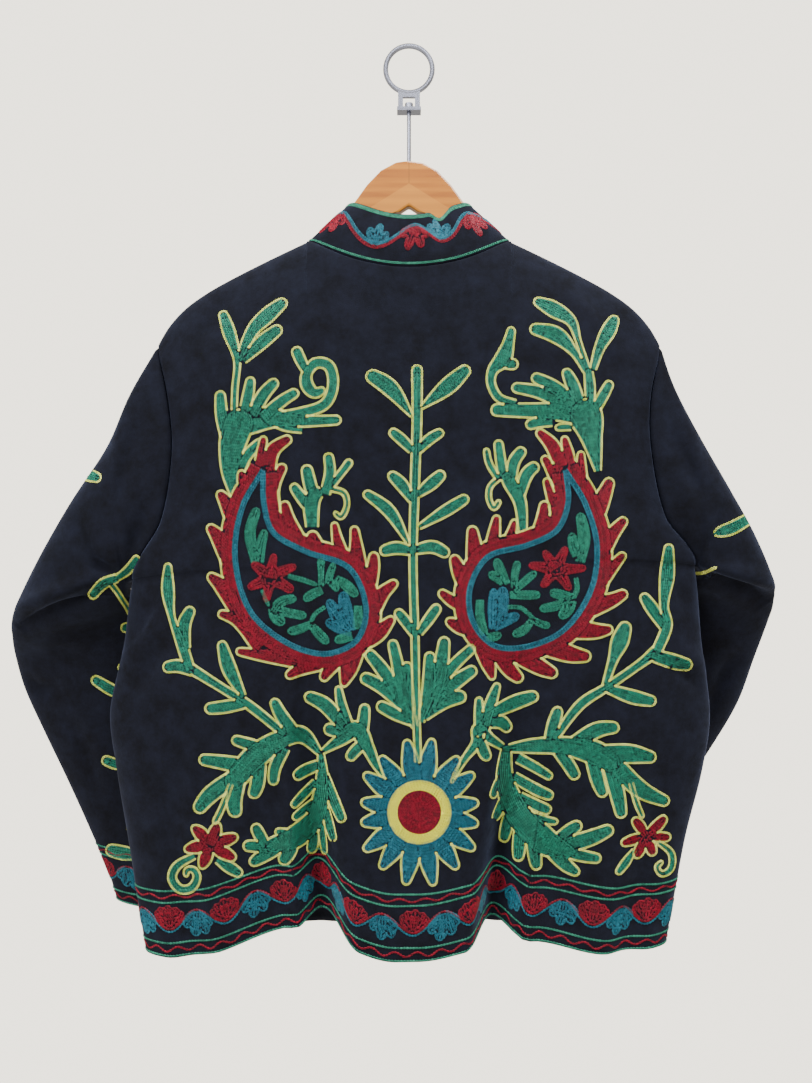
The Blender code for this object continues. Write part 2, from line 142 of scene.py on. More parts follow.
FRONT_FOLDS = table(
    "across fades_at depth lift wide_low wide_high",
    (-0.60, 0.50, 22, 5, 42, 34),
    (-0.26, 0.38, 12, 3, 26, 30),
    (0.36, 0.46, 16, 4, 30, 34),
    (0.67, 0.42, 18, 4, 30, 40),
)
print("rows of the body's sections:", len(EDGES["at"]))

# %% Tables of the sleeves
LEFT_SLEEVE = table(
    "outer_x outer_z inner_x inner_z middle_y half",
    (-276, -345, -281, -537, -1, 34),
    (-300, -399, -282, -540, 1, 38),
    (-339, -458, -283, -543, 3, 40),
    (-374, -519, -284, -547, 5, 41),
    (-398, -570, -283, -551, 8, 42),
    (-405, -594, -277, -556, 21, 36),
    (-411, -618, -269, -573, 41, 29),
    (-406, -653, -264, -617, 52, 27),
    (-387, -699, -253, -670, 56, 26),
    (-364, -749, -240, -722, 58, 25),
    (-341, -801, -215, -782, 59, 24),
    (-321, -848, -195, -842, 59, 23),
    (-312, -876, -183, -890, 59, 23),
)
RIGHT_SLEEVE = table(
    "outer_x outer_z inner_x inner_z middle_y half",
    (265, -345, 287, -523, -1, 34),
    (290, -392, 288, -525, 1, 38),
    (318, -440, 289, -527, 3, 40),
    (344, -486, 290, -530, 5, 41),
    (364, -530, 289, -533, 8, 40),
    (374, -554, 284, -540, 22, 34),
    (376, -580, 276, -554, 43, 28),
    (366, -620, 268, -598, 54, 26),
    (350, -668, 244, -640, 58, 25),
    (322, -718, 213, -673, 61, 24),
    (288, -770, 172, -716, 62, 23),
    (260, -815, 141, -766, 62, 22),
    (247, -846, 127, -806, 62, 22),
)
print("rings of a sleeve:", len(LEFT_SLEEVE["half"]))

# %% [markdown]
# ## From tables to surfaces
#
# A smooth curve runs through the rows of a table. It is the cubic that leaves
# each row in the direction of its neighbours, so it passes through every row
# and makes no corners. A panel is then a function of two numbers: u across it
# and v up it.

# %% Smooth curves and the body's surface
def smooth(at, values, x):
    """The values at x on smooth curves through a table's rows."""
    x = np.clip(np.asarray(x, float), at[0], at[-1])
    last = len(at) - 1
    k = np.clip(np.searchsorted(at, x, side="right") - 1, 0, last - 1)
    low, high = np.maximum(np.arange(last + 1) - 1, 0), np.minimum(np.arange(last + 1) + 1, last)
    deep = (1,) * (values.ndim - 1)
    slopes = (values[high] - values[low]) / (at[high] - at[low]).reshape((-1,) + deep)
    span = (at[k + 1] - at[k]).reshape(x.shape + deep)
    t = ((x - at[k]).reshape(x.shape + deep)) / span
    return (
        values[k] * (2 * t**3 - 3 * t**2 + 1)
        + values[k + 1] * (3 * t**2 - 2 * t**3)
        + slopes[k] * span * (t**3 - 2 * t**2 + t)
        + slopes[k + 1] * span * (t**3 - t**2)
    )


def ease(t):
    """A smooth step from 0 to 1."""
    t = np.clip(t, 0.0, 1.0)
    return t * t * (3 - 2 * t)


def fold_drop(folds, u, v, half_width):
    """Depth and hem lift of the large folds at places of a panel."""
    depth, lift = np.zeros_like(u), np.zeros_like(u)
    for k, across in enumerate(folds["across"]):
        reach = v / folds["fades_at"][k]
        away = (u - across) * half_width
        wide = np.where(away < 0, folds["wide_low"][k], folds["wide_high"][k])
        wide = wide * (1 - 0.25 * np.minimum(reach, 1.0))
        near = np.clip(np.abs(away) / wide, 0, 1)
        share = np.cos(math.pi / 2 * near) ** 2 * (1 - ease(reach))
        depth += folds["depth"][k] * share
        lift += folds["lift"][k] * share * np.maximum(0.0, 1 - 2 * reach)
    return depth, lift


def body_points(face, u, v):
    """Points of the body's skin, in metres: u runs from side to side, v up."""
    outward = -1 if face == "back" else 1
    neck_y, neck_z = (BACK_NECK_Y, BACK_NECK_Z) if face == "back" else (FRONT_NECK_Y, FRONT_NECK_Z)
    sides = {name: smooth(EDGES["at"], EDGES[name], v) for name in EDGES}
    half_width = (sides["right_x"] - sides["left_x"]) / 2
    x = sides["left_x"] + half_width * (1 + u)
    z = sides["left_z"] + (sides["right_z"] - sides["left_z"]) * (1 + u) / 2
    over_x = np.abs(u) * SHOULDER_HALF
    at_neck = over_x < NECK_HALF - 1e-6
    share = np.clip(over_x / NECK_HALF, 0, 1)
    neck_line = neck_z + (SHOULDER["z"][0] - neck_z) * share**2
    top_y = np.where(at_neck, neck_y * np.sqrt(1 - share**2), 0.0)
    top_z = np.where(at_neck, neck_line, smooth(SHOULDER["x"], SHOULDER["z"], over_x))
    pull = np.maximum(0.0, (v - TOP_PULL_FROM) / (1 - TOP_PULL_FROM)) ** 1.4
    z = z + (top_z - SHOULDER["z"][-1]) * pull

    up_armhole = np.maximum(0.0, (v - ARMPIT_AT) / (1 - ARMPIT_AT))
    opened = np.maximum(0.0, 1 - (1 - 2 * up_armhole) ** 2) ** 0.4
    armhole = ARMHOLE_BACK if face == "back" else ARMHOLE_FRONT
    edge_y = sides["seam_y"] + outward * armhole * opened
    middle_y = smooth(MIDDLES["at"], MIDDLES[face + "_y"], v)
    above = ease((v - ARMPIT_AT) / 0.25)
    power, first, more = (3.4, 0.5, 0.35) if face == "back" else (2.3, 0.6, 0.3)
    swell = np.maximum(0.0, 1 - np.abs(u) ** power) ** (first + more * above)
    y = edge_y + (middle_y - edge_y) * swell
    over = np.sqrt(np.clip(1 - (np.maximum(0, v - RIDGE_AT) / (1 - RIDGE_AT)) ** 2, 0, 1))
    ridge = top_y + (y - top_y) * over + edge_y * (1 - over) * np.abs(u) ** 12
    y = np.where(v > RIDGE_AT, ridge, y)

    depth, lift = fold_drop(BACK_FOLDS if face == "back" else FRONT_FOLDS, u, v, half_width)
    inside = 1 - np.abs(u) ** 10
    y = y - outward * depth * inside
    z = z + lift * inside
    if face == "front":
        gap = FRONT_GAP_HEM + (FRONT_GAP_TOP - FRONT_GAP_HEM) * v
        x = x + np.copysign(gap * np.maximum(0.0, 1 - over_x / NECK_HALF), u)
    return np.stack([x, y, z], axis=-1) * MM


print("mid back at", body_points("back", np.array(0.0), np.array(0.5)).round(3))

# %% [markdown]
# ## A skin that can be asked where it is
#
# Each panel becomes a grid of points. The grid remembers which u and v its
# columns and rows have, so a stitch or a crease can ask for any place on it,
# and for the way out of the cloth there.

# %% The Skin class
class Skin:
    """A panel's grid of points, with the u of its columns and the v of its rows."""

    def __init__(self, name, grid, rows, columns, closed=False):
        self.name, self.grid, self.closed = name, grid, closed
        self.rows, self.columns = np.asarray(rows, float), np.asarray(columns, float)

    def normals(self):
        """The way out of the cloth at each grid point."""
        up = np.gradient(self.grid, axis=0)
        if self.closed:
            wide = np.concatenate([self.grid[:, -2:-1], self.grid, self.grid[:, 1:2]], axis=1)
            along = (wide[:, 2:] - wide[:, :-2]) / 2
        else:
            along = np.gradient(self.grid, axis=1)
        out = np.cross(along, up)
        return out / np.maximum(np.linalg.norm(out, axis=-1, keepdims=True), 1e-12)

    def look_up(self, field, v, u):
        """A field's value at any place, between its four nearest grid points."""
        way = 1 if self.columns[-1] > self.columns[0] else -1
        i = np.interp(v, self.rows, np.arange(len(self.rows)))
        j = np.interp(way * u, way * self.columns, np.arange(len(self.columns)))
        i0 = np.minimum(i.astype(int), len(self.rows) - 2)
        j0 = np.minimum(j.astype(int), len(self.columns) - 2)
        a, b = (i - i0)[..., None], (j - j0)[..., None]
        low = field[i0, j0] * (1 - b) + field[i0, j0 + 1] * b
        high = field[i0 + 1, j0] * (1 - b) + field[i0 + 1, j0 + 1] * b
        return low * (1 - a) + high * a

    def press(self, line, depth, wide, tapered=True):
        """Presses a soft trough along a line of points, or a ridge if depth is negative."""
        flat = self.grid.reshape(-1, 3)
        far = np.linalg.norm(flat[:, None, :] - line[None, :, :], axis=2)
        nearest = far.argmin(axis=1)
        share = (nearest + 0.5) / len(line)
        fade = np.sin(math.pi * share) ** 0.7 if tapered else 1.0
        drop = depth * np.exp(-((far.min(axis=1) / wide) ** 2)) * fade
        self.grid = self.grid - self.normals() * drop.reshape(self.grid.shape[:2] + (1,))


# %% [markdown]
# ## The panels as fine grids
#
# The columns crowd towards the side seams and the neck points, where the cloth
# turns fastest. A row lies every few millimetres, fine enough for creases that
# are two centimetres wide.

# %% Grids of back, fronts, sleeves and collar
SIDE_ROWS, ARMHOLE_ROWS = 60, 44
SHOULDER_COLUMNS, HALF_NECK_COLUMNS = 30, 46
AROUND_SLEEVE, ALONG_SLEEVE = 96, 130


def row_places():
    """The v of each row, close together at the armpit and over the shoulder."""
    low = ARMPIT_AT * np.arange(SIDE_ROWS) / SIDE_ROWS
    turn = math.pi * np.arange(ARMHOLE_ROWS + 1) / ARMHOLE_ROWS
    high = ARMPIT_AT + (1 - ARMPIT_AT) * (1 - np.cos(turn)) / 2
    return np.concatenate([low, high])


def half_columns():
    """The u of the columns from the centre to the side."""
    neck = NECK_HALF / SHOULDER_HALF
    inner = neck * np.sin(math.pi / 2 * np.arange(HALF_NECK_COLUMNS) / HALF_NECK_COLUMNS)
    outer = neck + (1 - neck) * (1 - (1 - np.arange(SHOULDER_COLUMNS + 1) / SHOULDER_COLUMNS) ** 1.5)
    return np.concatenate([inner, outer])


def body_skin(name, face, columns):
    """A body panel as a skin."""
    rows = row_places()
    u, v = np.meshgrid(columns, rows)
    return Skin(name, body_points(face, u, v), rows, columns)


def armhole_loop(side, turns):
    """The armhole seam: up its back from the armpit, then down its front."""
    v = ARMPIT_AT + (1 - ARMPIT_AT) * (1 - np.cos(2 * math.pi * turns)) / 2
    u = np.full_like(v, float(side))
    back, front = body_points("back", u, v), body_points("front", u, v)
    return np.where((turns <= 0.5)[:, None], back, front)


def sleeve_skin(name, side):
    """A sleeve as a skin: u is the share of a turn from the underarm, v the ring."""
    rings = RIGHT_SLEEVE if side > 0 else LEFT_SLEEVE
    turns = np.linspace(0, 1, AROUND_SLEEVE + 1)
    angle = 2 * math.pi * turns
    stack = [armhole_loop(side, turns)]
    for k in range(len(rings["half"])):
        outer = np.array([rings["outer_x"][k], rings["middle_y"][k], rings["outer_z"][k]])
        inner = np.array([rings["inner_x"][k], rings["middle_y"][k], rings["inner_z"][k]])
        rise = np.copysign(np.abs(np.sin(angle)) ** 0.8, np.sin(angle)) * rings["half"][k]
        ring = (outer + inner) / 2 + (inner - outer) / 2 * np.cos(angle)[:, None]
        ring[:, 1] -= rise
        stack.append(ring * MM)
    at = np.arange(len(stack), dtype=float)
    rows = np.linspace(0, at[-1], ALONG_SLEEVE + 1)
    grid = smooth(at, np.stack(stack), rows)
    if side > 0:
        return Skin(name, grid[:, ::-1], rows, turns[::-1], closed=True)
    return Skin(name, grid, rows, turns, closed=True)


COLLAR_TOP_X, COLLAR_TOP_Y, COLLAR_BOW = 0.60, 0.86, 3.0
COLLAR_RISE_BACK, COLLAR_RISE_SIDE, COLLAR_RISE_FRONT = 51.0, 34.0, 44.0
COLLAR_KINK_X, COLLAR_KINK_HALF, COLLAR_KINK_DROP, COLLAR_KINK_IN = 30.0, 12.0, 6.0, 5.0
COLLAR_ROWS, COLLAR_TUCK = 28, 3.0


def collar_skin(name, columns, open_columns):
    """The stand collar: u runs along the neck seam from the left front, v up it."""
    neck_up = open_columns[:HALF_NECK_COLUMNS]
    across = columns[: HALF_NECK_COLUMNS + 1]
    seam = [
        body_points("front", -neck_up, np.ones_like(neck_up)),
        body_points("back", np.concatenate([-across[::-1], across[1:]]), np.ones(2 * len(across) - 1)),
        body_points("front", neck_up[::-1], np.ones_like(neck_up)),
    ]
    seam = np.concatenate(seam) / MM
    along = np.concatenate([[0], np.cumsum(np.linalg.norm(np.diff(seam, axis=0), axis=1))])
    x, y, z = seam.T
    round_back, round_front = np.maximum(0, y / BACK_NECK_Y), np.maximum(0, y / FRONT_NECK_Y)
    rise = (
        COLLAR_RISE_SIDE
        + (COLLAR_RISE_BACK - COLLAR_RISE_SIDE) * round_back
        + (COLLAR_RISE_FRONT - COLLAR_RISE_SIDE) * round_front
    )
    rows = np.linspace(0, 1, COLLAR_ROWS + 1)
    share = rows[:, None]
    new_x = x + (x * (COLLAR_TOP_X + 0.25 * round_front) - x) * share
    away = np.abs(new_x - COLLAR_KINK_X) / COLLAR_KINK_HALF
    kink = ease(1 - away) * share * (y < -10)
    bow = COLLAR_BOW * np.sin(math.pi * share) * np.clip(y / 20, -1, 1)
    new_y = y * (1 + (COLLAR_TOP_Y - 1) * share) + bow + COLLAR_KINK_IN * kink
    new_z = z + rise * share - COLLAR_KINK_DROP * kink
    grid = np.stack([new_x, new_y, new_z], axis=-1)
    tuck = grid[:1] * [0.985, 0.95, 1.0] - [0.0, 0.0, COLLAR_TUCK]
    rows = np.concatenate([[-COLLAR_TUCK / COLLAR_RISE_BACK], rows])
    return Skin(name, np.concatenate([tuck, grid]) * MM, rows, along / along[-1])


half = half_columns()
half_open = np.concatenate([[1e-6], half[1:]])
skins = {
    "back": body_skin("velvet_back", "back", np.concatenate([-half[:0:-1], half])),
    "front_left": body_skin("velvet_front_left", "front", -half_open),
    "front_right": body_skin("velvet_front_right", "front", half_open[::-1]),
    "sleeve_left": sleeve_skin("velvet_sleeve_left", -1),
    "sleeve_right": sleeve_skin("velvet_sleeve_right", 1),
    "collar": collar_skin("velvet_collar", half, half_open),
}
print({name: skin.grid.shape[:2] for name, skin in skins.items()})

# %% [markdown]
# ## Where a pixel lands
#
# A ray from the camera through a pixel meets the cloth at one place. There the
# nearest corners of the grid also tell which way is out.

# %% Rays
def faces_between(first, second):
    """The faces between two lines of point numbers."""
    return np.stack([first[:-1], first[1:], second[1:], second[:-1]], axis=1)


def make_tree(names):
    """The outer skins of some panels as one thing that a ray can meet."""
    points, ways, faces, start = [], [], [], 0
    for name in names:
        grid = skins[name].grid
        rows, columns = grid.shape[:2]
        number = np.arange(rows * columns).reshape(rows, columns) + start
        for i in range(rows - 1):
            faces += [tuple(face) for face in faces_between(number[i], number[i + 1]).tolist()]
        points.append(grid.reshape(-1, 3))
        ways.append(skins[name].normals().reshape(-1, 3))
        start += rows * columns
    points, ways = np.concatenate(points), np.concatenate(ways)
    return BVHTree.FromPolygons(points.tolist(), faces), faces, points, ways


def land(pixels, target):
    """Places on the cloth, with the way out, behind pixels. A miss is left as nan."""
    tree, faces, points, ways = target
    places, outs = np.full((len(pixels), 3), np.nan), np.full((len(pixels), 3), np.nan)
    for k, (px, py) in enumerate(pixels):
        slope_x = (px - PHOTO_WIDE / 2) / PIXELS_PER_SLOPE
        slope_z = (PHOTO_TALL / 2 - py) / PIXELS_PER_SLOPE
        hit, _, face, _ = tree.ray_cast(EYE, Vector((slope_x, 1.0, slope_z)).normalized())
        if hit is not None:
            places[k] = hit
            corners = list(faces[face])
            near = 1 / (np.linalg.norm(points[corners] - places[k], axis=1) + 1e-5)
            outs[k] = (ways[corners] * near[:, None]).sum(axis=0) / near.sum()
    return places, outs


# %% [markdown]
# ## Creases, one by one
#
# The large folds are in the tables. The rest of the wear is pressed in here,
# one crease at a time, each with its own depth and width in millimetres. All
# the depths are then made deeper by the same factor, PRESSED. A negative depth
# makes a ridge. Those that show are drawn where they lie in the frame. The
# hidden panels get similar ones, drawn by u and v.

# %% Press the creases
SEEN_CREASES = table(
    "panel depth wide x1 y1 x2 y2 x3 y3",
    (0, 1.3, 5, 347, 430, 351, 520, 349, 600),
    (0, 0.9, 5, 377, 420, 378, 500, 377, 590),
    (0, 1.6, 7, 490, 330, 489, 390, 487, 450),
    (0, -1.4, 9, 350, 300, 352, 360, 350, 430),
    (0, -3.0, 12, 122, 664, 140, 641, 158, 618),
    (0, 2.6, 8, 126, 646, 142, 622, 152, 600),
    (0, 2.4, 9, 133, 690, 150, 668, 165, 640),
    (0, 3.2, 8, 703, 690, 690, 676, 672, 668),
    (0, -2.6, 9, 706, 670, 690, 658, 668, 654),
    (0, 2.0, 7, 688, 612, 680, 590, 668, 570),
    (0, 1.8, 6, 598, 352, 610, 362, 622, 376),
    (0, 1.4, 8, 232, 290, 214, 320, 196, 344),
    (0, -1.6, 11, 560, 282, 585, 312, 610, 340),
    (0, 1.5, 10, 430, 300, 432, 350, 430, 400),
    (0, -2.0, 14, 250, 760, 246, 820, 244, 880),
    (0, 2.2, 12, 590, 770, 596, 830, 598, 890),
    (0, 1.6, 9, 180, 720, 176, 790, 172, 860),
    (0, -1.5, 8, 345, 640, 343, 700, 338, 760),
    (0, 2.2, 9, 465, 760, 474, 820, 480, 880),
    (1, -4.5, 9, 14, 610, 54, 594, 100, 576),
    (1, 8.0, 10, 16, 630, 62, 611, 116, 592),
    (1, 3.0, 6, 74, 512, 88, 552, 106, 572),
    (1, 3.4, 6, 92, 560, 108, 570, 120, 572),
    (1, -2.6, 8, 120, 500, 122, 536, 128, 560),
    (1, 2.6, 7, 148, 500, 140, 532, 130, 556),
    (1, 3.0, 8, 26, 676, 44, 690, 62, 684),
    (1, -2.2, 9, 34, 650, 62, 640, 96, 646),
    (1, 2.0, 9, 60, 716, 84, 748, 96, 800),
    (1, -1.8, 9, 110, 380, 92, 430, 84, 480),
    (1, 1.8, 8, 140, 420, 128, 460, 118, 500),
    (1, 1.6, 9, 90, 830, 104, 862, 112, 890),
    (2, -4.0, 8, 774, 588, 738, 573, 698, 565),
    (2, 8.5, 11, 768, 606, 738, 590, 700, 578),
    (2, 2.8, 6, 726, 500, 716, 532, 704, 552),
    (2, -2.4, 8, 690, 480, 692, 516, 690, 545),
    (2, 2.4, 8, 672, 430, 690, 470, 706, 500),
    (2, 2.2, 9, 745, 650, 730, 668, 716, 690),
    (2, -1.8, 9, 700, 390, 722, 440, 736, 480),
)
HIDDEN_CREASES = table(
    "panel depth wide u1 v1 u2 v2 u3 v3",
    (3, 1.8, 8, -0.30, 0.20, -0.34, 0.40, -0.32, 0.60),
    (3, -2.4, 11, -0.70, 0.48, -0.82, 0.54, -0.93, 0.60),
    (3, 2.2, 8, -0.72, 0.54, -0.83, 0.60, -0.92, 0.66),
    (3, 1.5, 8, -0.55, 0.75, -0.60, 0.84, -0.64, 0.92),
    (4, 1.6, 8, 0.36, 0.22, 0.30, 0.42, 0.33, 0.58),
    (4, -2.2, 11, 0.72, 0.50, 0.80, 0.56, 0.94, 0.62),
    (4, 2.0, 9, 0.70, 0.57, 0.84, 0.62, 0.93, 0.70),
    (4, -1.6, 9, 0.52, 0.72, 0.57, 0.83, 0.60, 0.93),
    (1, 6.0, 10, 0.58, 6.3, 0.66, 6.2, 0.80, 6.1),
    (1, -3.0, 9, 0.58, 5.2, 0.68, 5.2, 0.82, 5.4),
    (1, 2.4, 8, 0.70, 2.0, 0.74, 3.2, 0.80, 4.4),
    (1, 2.0, 9, 0.62, 8.0, 0.66, 9.4, 0.70, 11.0),
    (2, 5.5, 10, 0.57, 6.2, 0.68, 6.3, 0.80, 6.0),
    (2, -2.8, 9, 0.59, 5.3, 0.70, 5.1, 0.84, 5.3),
    (2, 2.2, 8, 0.66, 1.8, 0.70, 3.0, 0.78, 4.2),
    (2, 2.2, 9, 0.30, 8.0, 0.32, 9.2, 0.30, 11.0),
)
PRESSED = 1.75
CREASED = ["back", "sleeve_left", "sleeve_right", "front_left", "front_right"]


def crease_line(first, second, third, count=24):
    """A soft bend through three places."""
    t = np.linspace(0, 1, count)[:, None]
    through = 2 * second - (first + third) / 2
    return (1 - t) ** 2 * first + 2 * t * (1 - t) * through + t**2 * third


for kind, creases in (("seen", SEEN_CREASES), ("hidden", HIDDEN_CREASES)):
    names = list(creases)[3:]
    for k, number in enumerate(creases["panel"]):
        node = CREASED[int(number)]
        ends = np.array([creases[name][k] for name in names]).reshape(3, 2)
        drawn = crease_line(*ends)
        if kind == "seen":
            line = land(drawn, make_tree([node]))[0]
        else:
            line = skins[node].look_up(skins[node].grid, drawn[:, 1], drawn[:, 0])
        line = line[~np.isnan(line[:, 0])]
        if len(line) > 3:
            skins[node].press(line, PRESSED * creases["depth"][k] * MM, creases["wide"][k] * MM)
print("creases:", len(SEEN_CREASES["panel"]) + len(HIDDEN_CREASES["panel"]))

# %% [markdown]
# ## Materials
#
# Velvet is a forest of short fibres. Seen straight on it is nearly black, and
# it catches light only where the surface turns away from us, so it needs sheen
# more than gloss. The nap also lies in uneven patches.

# %% Helpers for materials
def colour(hex_code):
    """A colour as the eye picks it, turned into the linear values a shader wants."""
    parts = [int(hex_code[k:k + 2], 16) / 255 for k in (1, 3, 5)]
    return [c / 12.92 if c <= 0.04045 else ((c + 0.055) / 1.055) ** 2.4 for c in parts] + [1.0]


def add_node(material, kind, sources=(), **settings):
    """Adds one node, with its inputs set by name to a value or linked to a socket."""
    node = material.node_tree.nodes.new(kind)
    for key, value in settings.items():
        setattr(node, key, value)
    for name, value in dict(sources).items():
        if isinstance(value, bpy.types.NodeSocket):
            material.node_tree.links.new(value, node.inputs[name])
        else:
            node.inputs[name].default_value = value
    return node


def new_material(name, **values):
    """A new material and its shader, with plain values set on the shader's inputs."""
    material = bpy.data.materials.new(name)
    material.use_nodes = True
    shader = material.node_tree.nodes["Principled BSDF"]
    for key, value in values.items():
        shader.inputs[key.replace("_", " ")].default_value = value
    return material, shader


def add_ramp(material, factor, dark, light, low=0.0, high=1.0):
    """A ramp from a dark colour to a light one, driven by a factor between low and high."""
    ramp = add_node(material, "ShaderNodeValToRGB", {"Fac": factor})
    for end, position, shade in zip(ramp.color_ramp.elements, (low, high), (dark, light)):
        end.position = position
        end.color = colour(shade)
    return ramp.outputs["Color"]


PATCHES_PER_M, PILE_PER_M = 42.0, 900.0
PATCH_LOW, PATCH_HIGH = 0.35, 0.68
SHEEN_LOW, SHEEN_HIGH = 0.12, 0.34


def velvet_material():
    """Black cotton velvet with a short, slightly crushed pile."""
    material, shader = new_material(
        "black_velvet", Roughness=0.9, Specular_IOR_Level=0.12,
        Sheen_Roughness=0.42, Sheen_Tint=colour("#7E8CB8"),
    )
    place = add_node(material, "ShaderNodeTexCoord").outputs["Object"]
    patches = add_node(
        material, "ShaderNodeTexNoise",
        {"Vector": place, "Scale": PATCHES_PER_M, "Detail": 8.0, "Roughness": 0.78},
    )
    tone = add_ramp(material, patches.outputs["Fac"], "#080910", "#121522", PATCH_LOW, PATCH_HIGH)
    brushed = add_node(
        material, "ShaderNodeMapRange",
        {
            "Value": patches.outputs["Fac"], "From Min": PATCH_LOW, "From Max": PATCH_HIGH,
            "To Min": SHEEN_LOW, "To Max": SHEEN_HIGH,
        },
    )
    material.node_tree.links.new(tone, shader.inputs["Base Color"])
    material.node_tree.links.new(brushed.outputs["Result"], shader.inputs["Sheen Weight"])
    pile = add_node(material, "ShaderNodeTexNoise", {"Vector": place, "Scale": PILE_PER_M, "Detail": 2.0})
    bump = add_node(
        material, "ShaderNodeBump", {"Height": pile.outputs["Fac"], "Strength": 0.35, "Distance": 0.0006}
    )
    material.node_tree.links.new(bump.outputs["Normal"], shader.inputs["Normal"])
    return material


velvet = velvet_material()
print("velvet ready")

# %% [markdown]
# ## From skins to cloth
#
# A panel's outer skin is given an inner one 2 mm behind it, and its cut edges
# are closed. Close to a seam the skin turns in by up to 1.6 mm, which is what
# makes a seam line show on dark cloth.

# %% Make the panels
CLOTH = 2.0 * MM
SEAM_TURN, SEAM_SOFT = 1.6 * MM, 3.0 * MM


def set_mesh(name, points, faces):
    """A mesh object from arrays of points and four-cornered faces."""
    mesh = bpy.data.meshes.new(name)
    mesh.vertices.add(len(points))
    mesh.vertices.foreach_set("co", points.astype(np.float32).ravel())
    mesh.loops.add(faces.size)
    mesh.loops.foreach_set("vertex_index", faces.astype(np.int32).ravel())
    mesh.polygons.add(len(faces))
    mesh.polygons.foreach_set("loop_start", np.arange(len(faces), dtype=np.int32) * 4)
    mesh.update(calc_edges=True)
    mesh.validate()
    mesh.shade_smooth()
    obj = bpy.data.objects.new(name, mesh)
    bpy.context.scene.collection.objects.link(obj)
    return obj


def cloth_panel(skin, material, open_edges=()):
    """A skin's wall of cloth as one closed mesh. open_edges stay full at their edge."""
    grid, out = skin.grid, skin.normals()
    near = np.full(grid.shape[:2], 1.0)
    up = np.cumsum(np.linalg.norm(np.diff(grid, axis=0, prepend=grid[:1]), axis=2), axis=0)
    along = np.cumsum(np.linalg.norm(np.diff(grid, axis=1, prepend=grid[:, :1]), axis=2), axis=1)
    edges = {"foot": up, "head": up[-1:] - up, "start": along, "end": along[:, -1:] - along}
    for edge, away in edges.items():
        if edge not in open_edges:
            near = np.minimum(near, away / SEAM_SOFT)
    grid = grid - out * (SEAM_TURN * (1 - ease(near)) ** 2)[..., None]
    if skin.closed:
        grid, out = grid[:, :-1], out[:, :-1]
    rows, columns = grid.shape[:2]
    number = np.arange(rows * columns).reshape(rows, columns)
    if skin.closed:
        number = np.concatenate([number, number[:, :1]], axis=1)
    inner = number + rows * columns
    faces = [faces_between(number[i], number[i + 1]) for i in range(rows - 1)]
    faces += [faces_between(inner[i + 1], inner[i]) for i in range(rows - 1)]
    faces += [faces_between(inner[0], number[0]), faces_between(number[-1], inner[-1])]
    if not skin.closed:
        faces += [faces_between(number[:, 0], inner[:, 0]), faces_between(inner[:, -1], number[:, -1])]
    points = np.concatenate([grid.reshape(-1, 3), (grid - out * CLOTH).reshape(-1, 3)])
    obj = set_mesh(skin.name, points, np.concatenate(faces))
    obj.data.materials.append(material)
    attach(obj, "root")
    return obj


OPEN_EDGES = {
    "back": ("foot",),
    "front_left": ("foot", "start"),
    "front_right": ("foot", "end"),
    "sleeve_left": ("head", "start", "end"),
    "sleeve_right": ("head", "start", "end"),
    "collar": ("head", "start", "end"),
}
for node, skin in skins.items():
    cloth_panel(skin, velvet, OPEN_EDGES[node])
    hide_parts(node)

# %% [markdown]
# ## How the embroidery is drawn
#
# The needleworker draws each motif on the cloth first, then fills it with rows
# of chain stitch, and outlines it last in lime thread. We do the same. A motif
# is a handful of strokes. Each stroke is a soft curve that is given by a few
# places on its middle line, with half its width there. Places are counted in
# pixels across the frame, because the drawing is seen from the camera, and a
# ray through the pixel then finds the cloth.

# %% Strokes
def strokes(text):
    """Strokes from lines of text: "x y half" for each place. A comma at a line's end goes on below."""
    lines = text.strip().replace(",\n", ", ").splitlines()
    return [np.array([[float(n) for n in place.split()] for place in line.split(",")]) for line in lines]


def spine(places, step=1.0):
    """A stroke's middle line and half widths, a sample every pixel or so, its tip rounded."""
    far = np.concatenate([[0], np.cumsum(np.linalg.norm(np.diff(places[:, :2], axis=0), axis=1))])
    count = max(int(far[-1] / step) + 1, 6)
    line = smooth(far, places, np.linspace(0, far[-1], count))
    gone = np.concatenate([[0], np.cumsum(np.linalg.norm(np.diff(line[:, :2], axis=0), axis=1))])
    left = (gone[-1] - gone) / max(places[-1, 2], 1e-3)
    line[:, 2] *= np.sqrt(np.clip(1 - (1 - np.minimum(left, 1.0)) ** 2, 0, 1))
    return line


def sideways(line):
    """Unit vectors across a line of pixels."""
    along = np.gradient(line[:, :2], axis=0)
    along /= np.maximum(np.linalg.norm(along, axis=1, keepdims=True), 1e-9)
    return np.stack([-along[:, 1], along[:, 0]], axis=1)


def depth_in(points, line):
    """How deep points lie inside a stroke, in pixels. Outside it is negative."""
    far = np.linalg.norm(points[:, None, :] - line[None, :, :2], axis=2)
    return (line[None, :, 2] - far).max(axis=1)


def split_where(keep, points):
    """The runs of points that are kept, each with at least two points."""
    cuts = np.flatnonzero(np.diff(keep.astype(int))) + 1
    runs = np.split(np.arange(len(keep)), cuts)
    return [points[run] for run in runs if len(run) > 1 and keep[run[0]]]


# All in pixels: between rows, from an outline to its filling, and how far an
# outline may run on into a neighbour or a hole.
ROW, INSET = 1.95, 1.75
MEET, HOLE_MEET = 1.3, 0.4
SIDE_APART, FILL_APART = 0.62 * ROW, 0.66 * ROW
STROKE_RIM, EDGE_SLACK, HOLE_RIM = 0.3, 0.4, 0.6


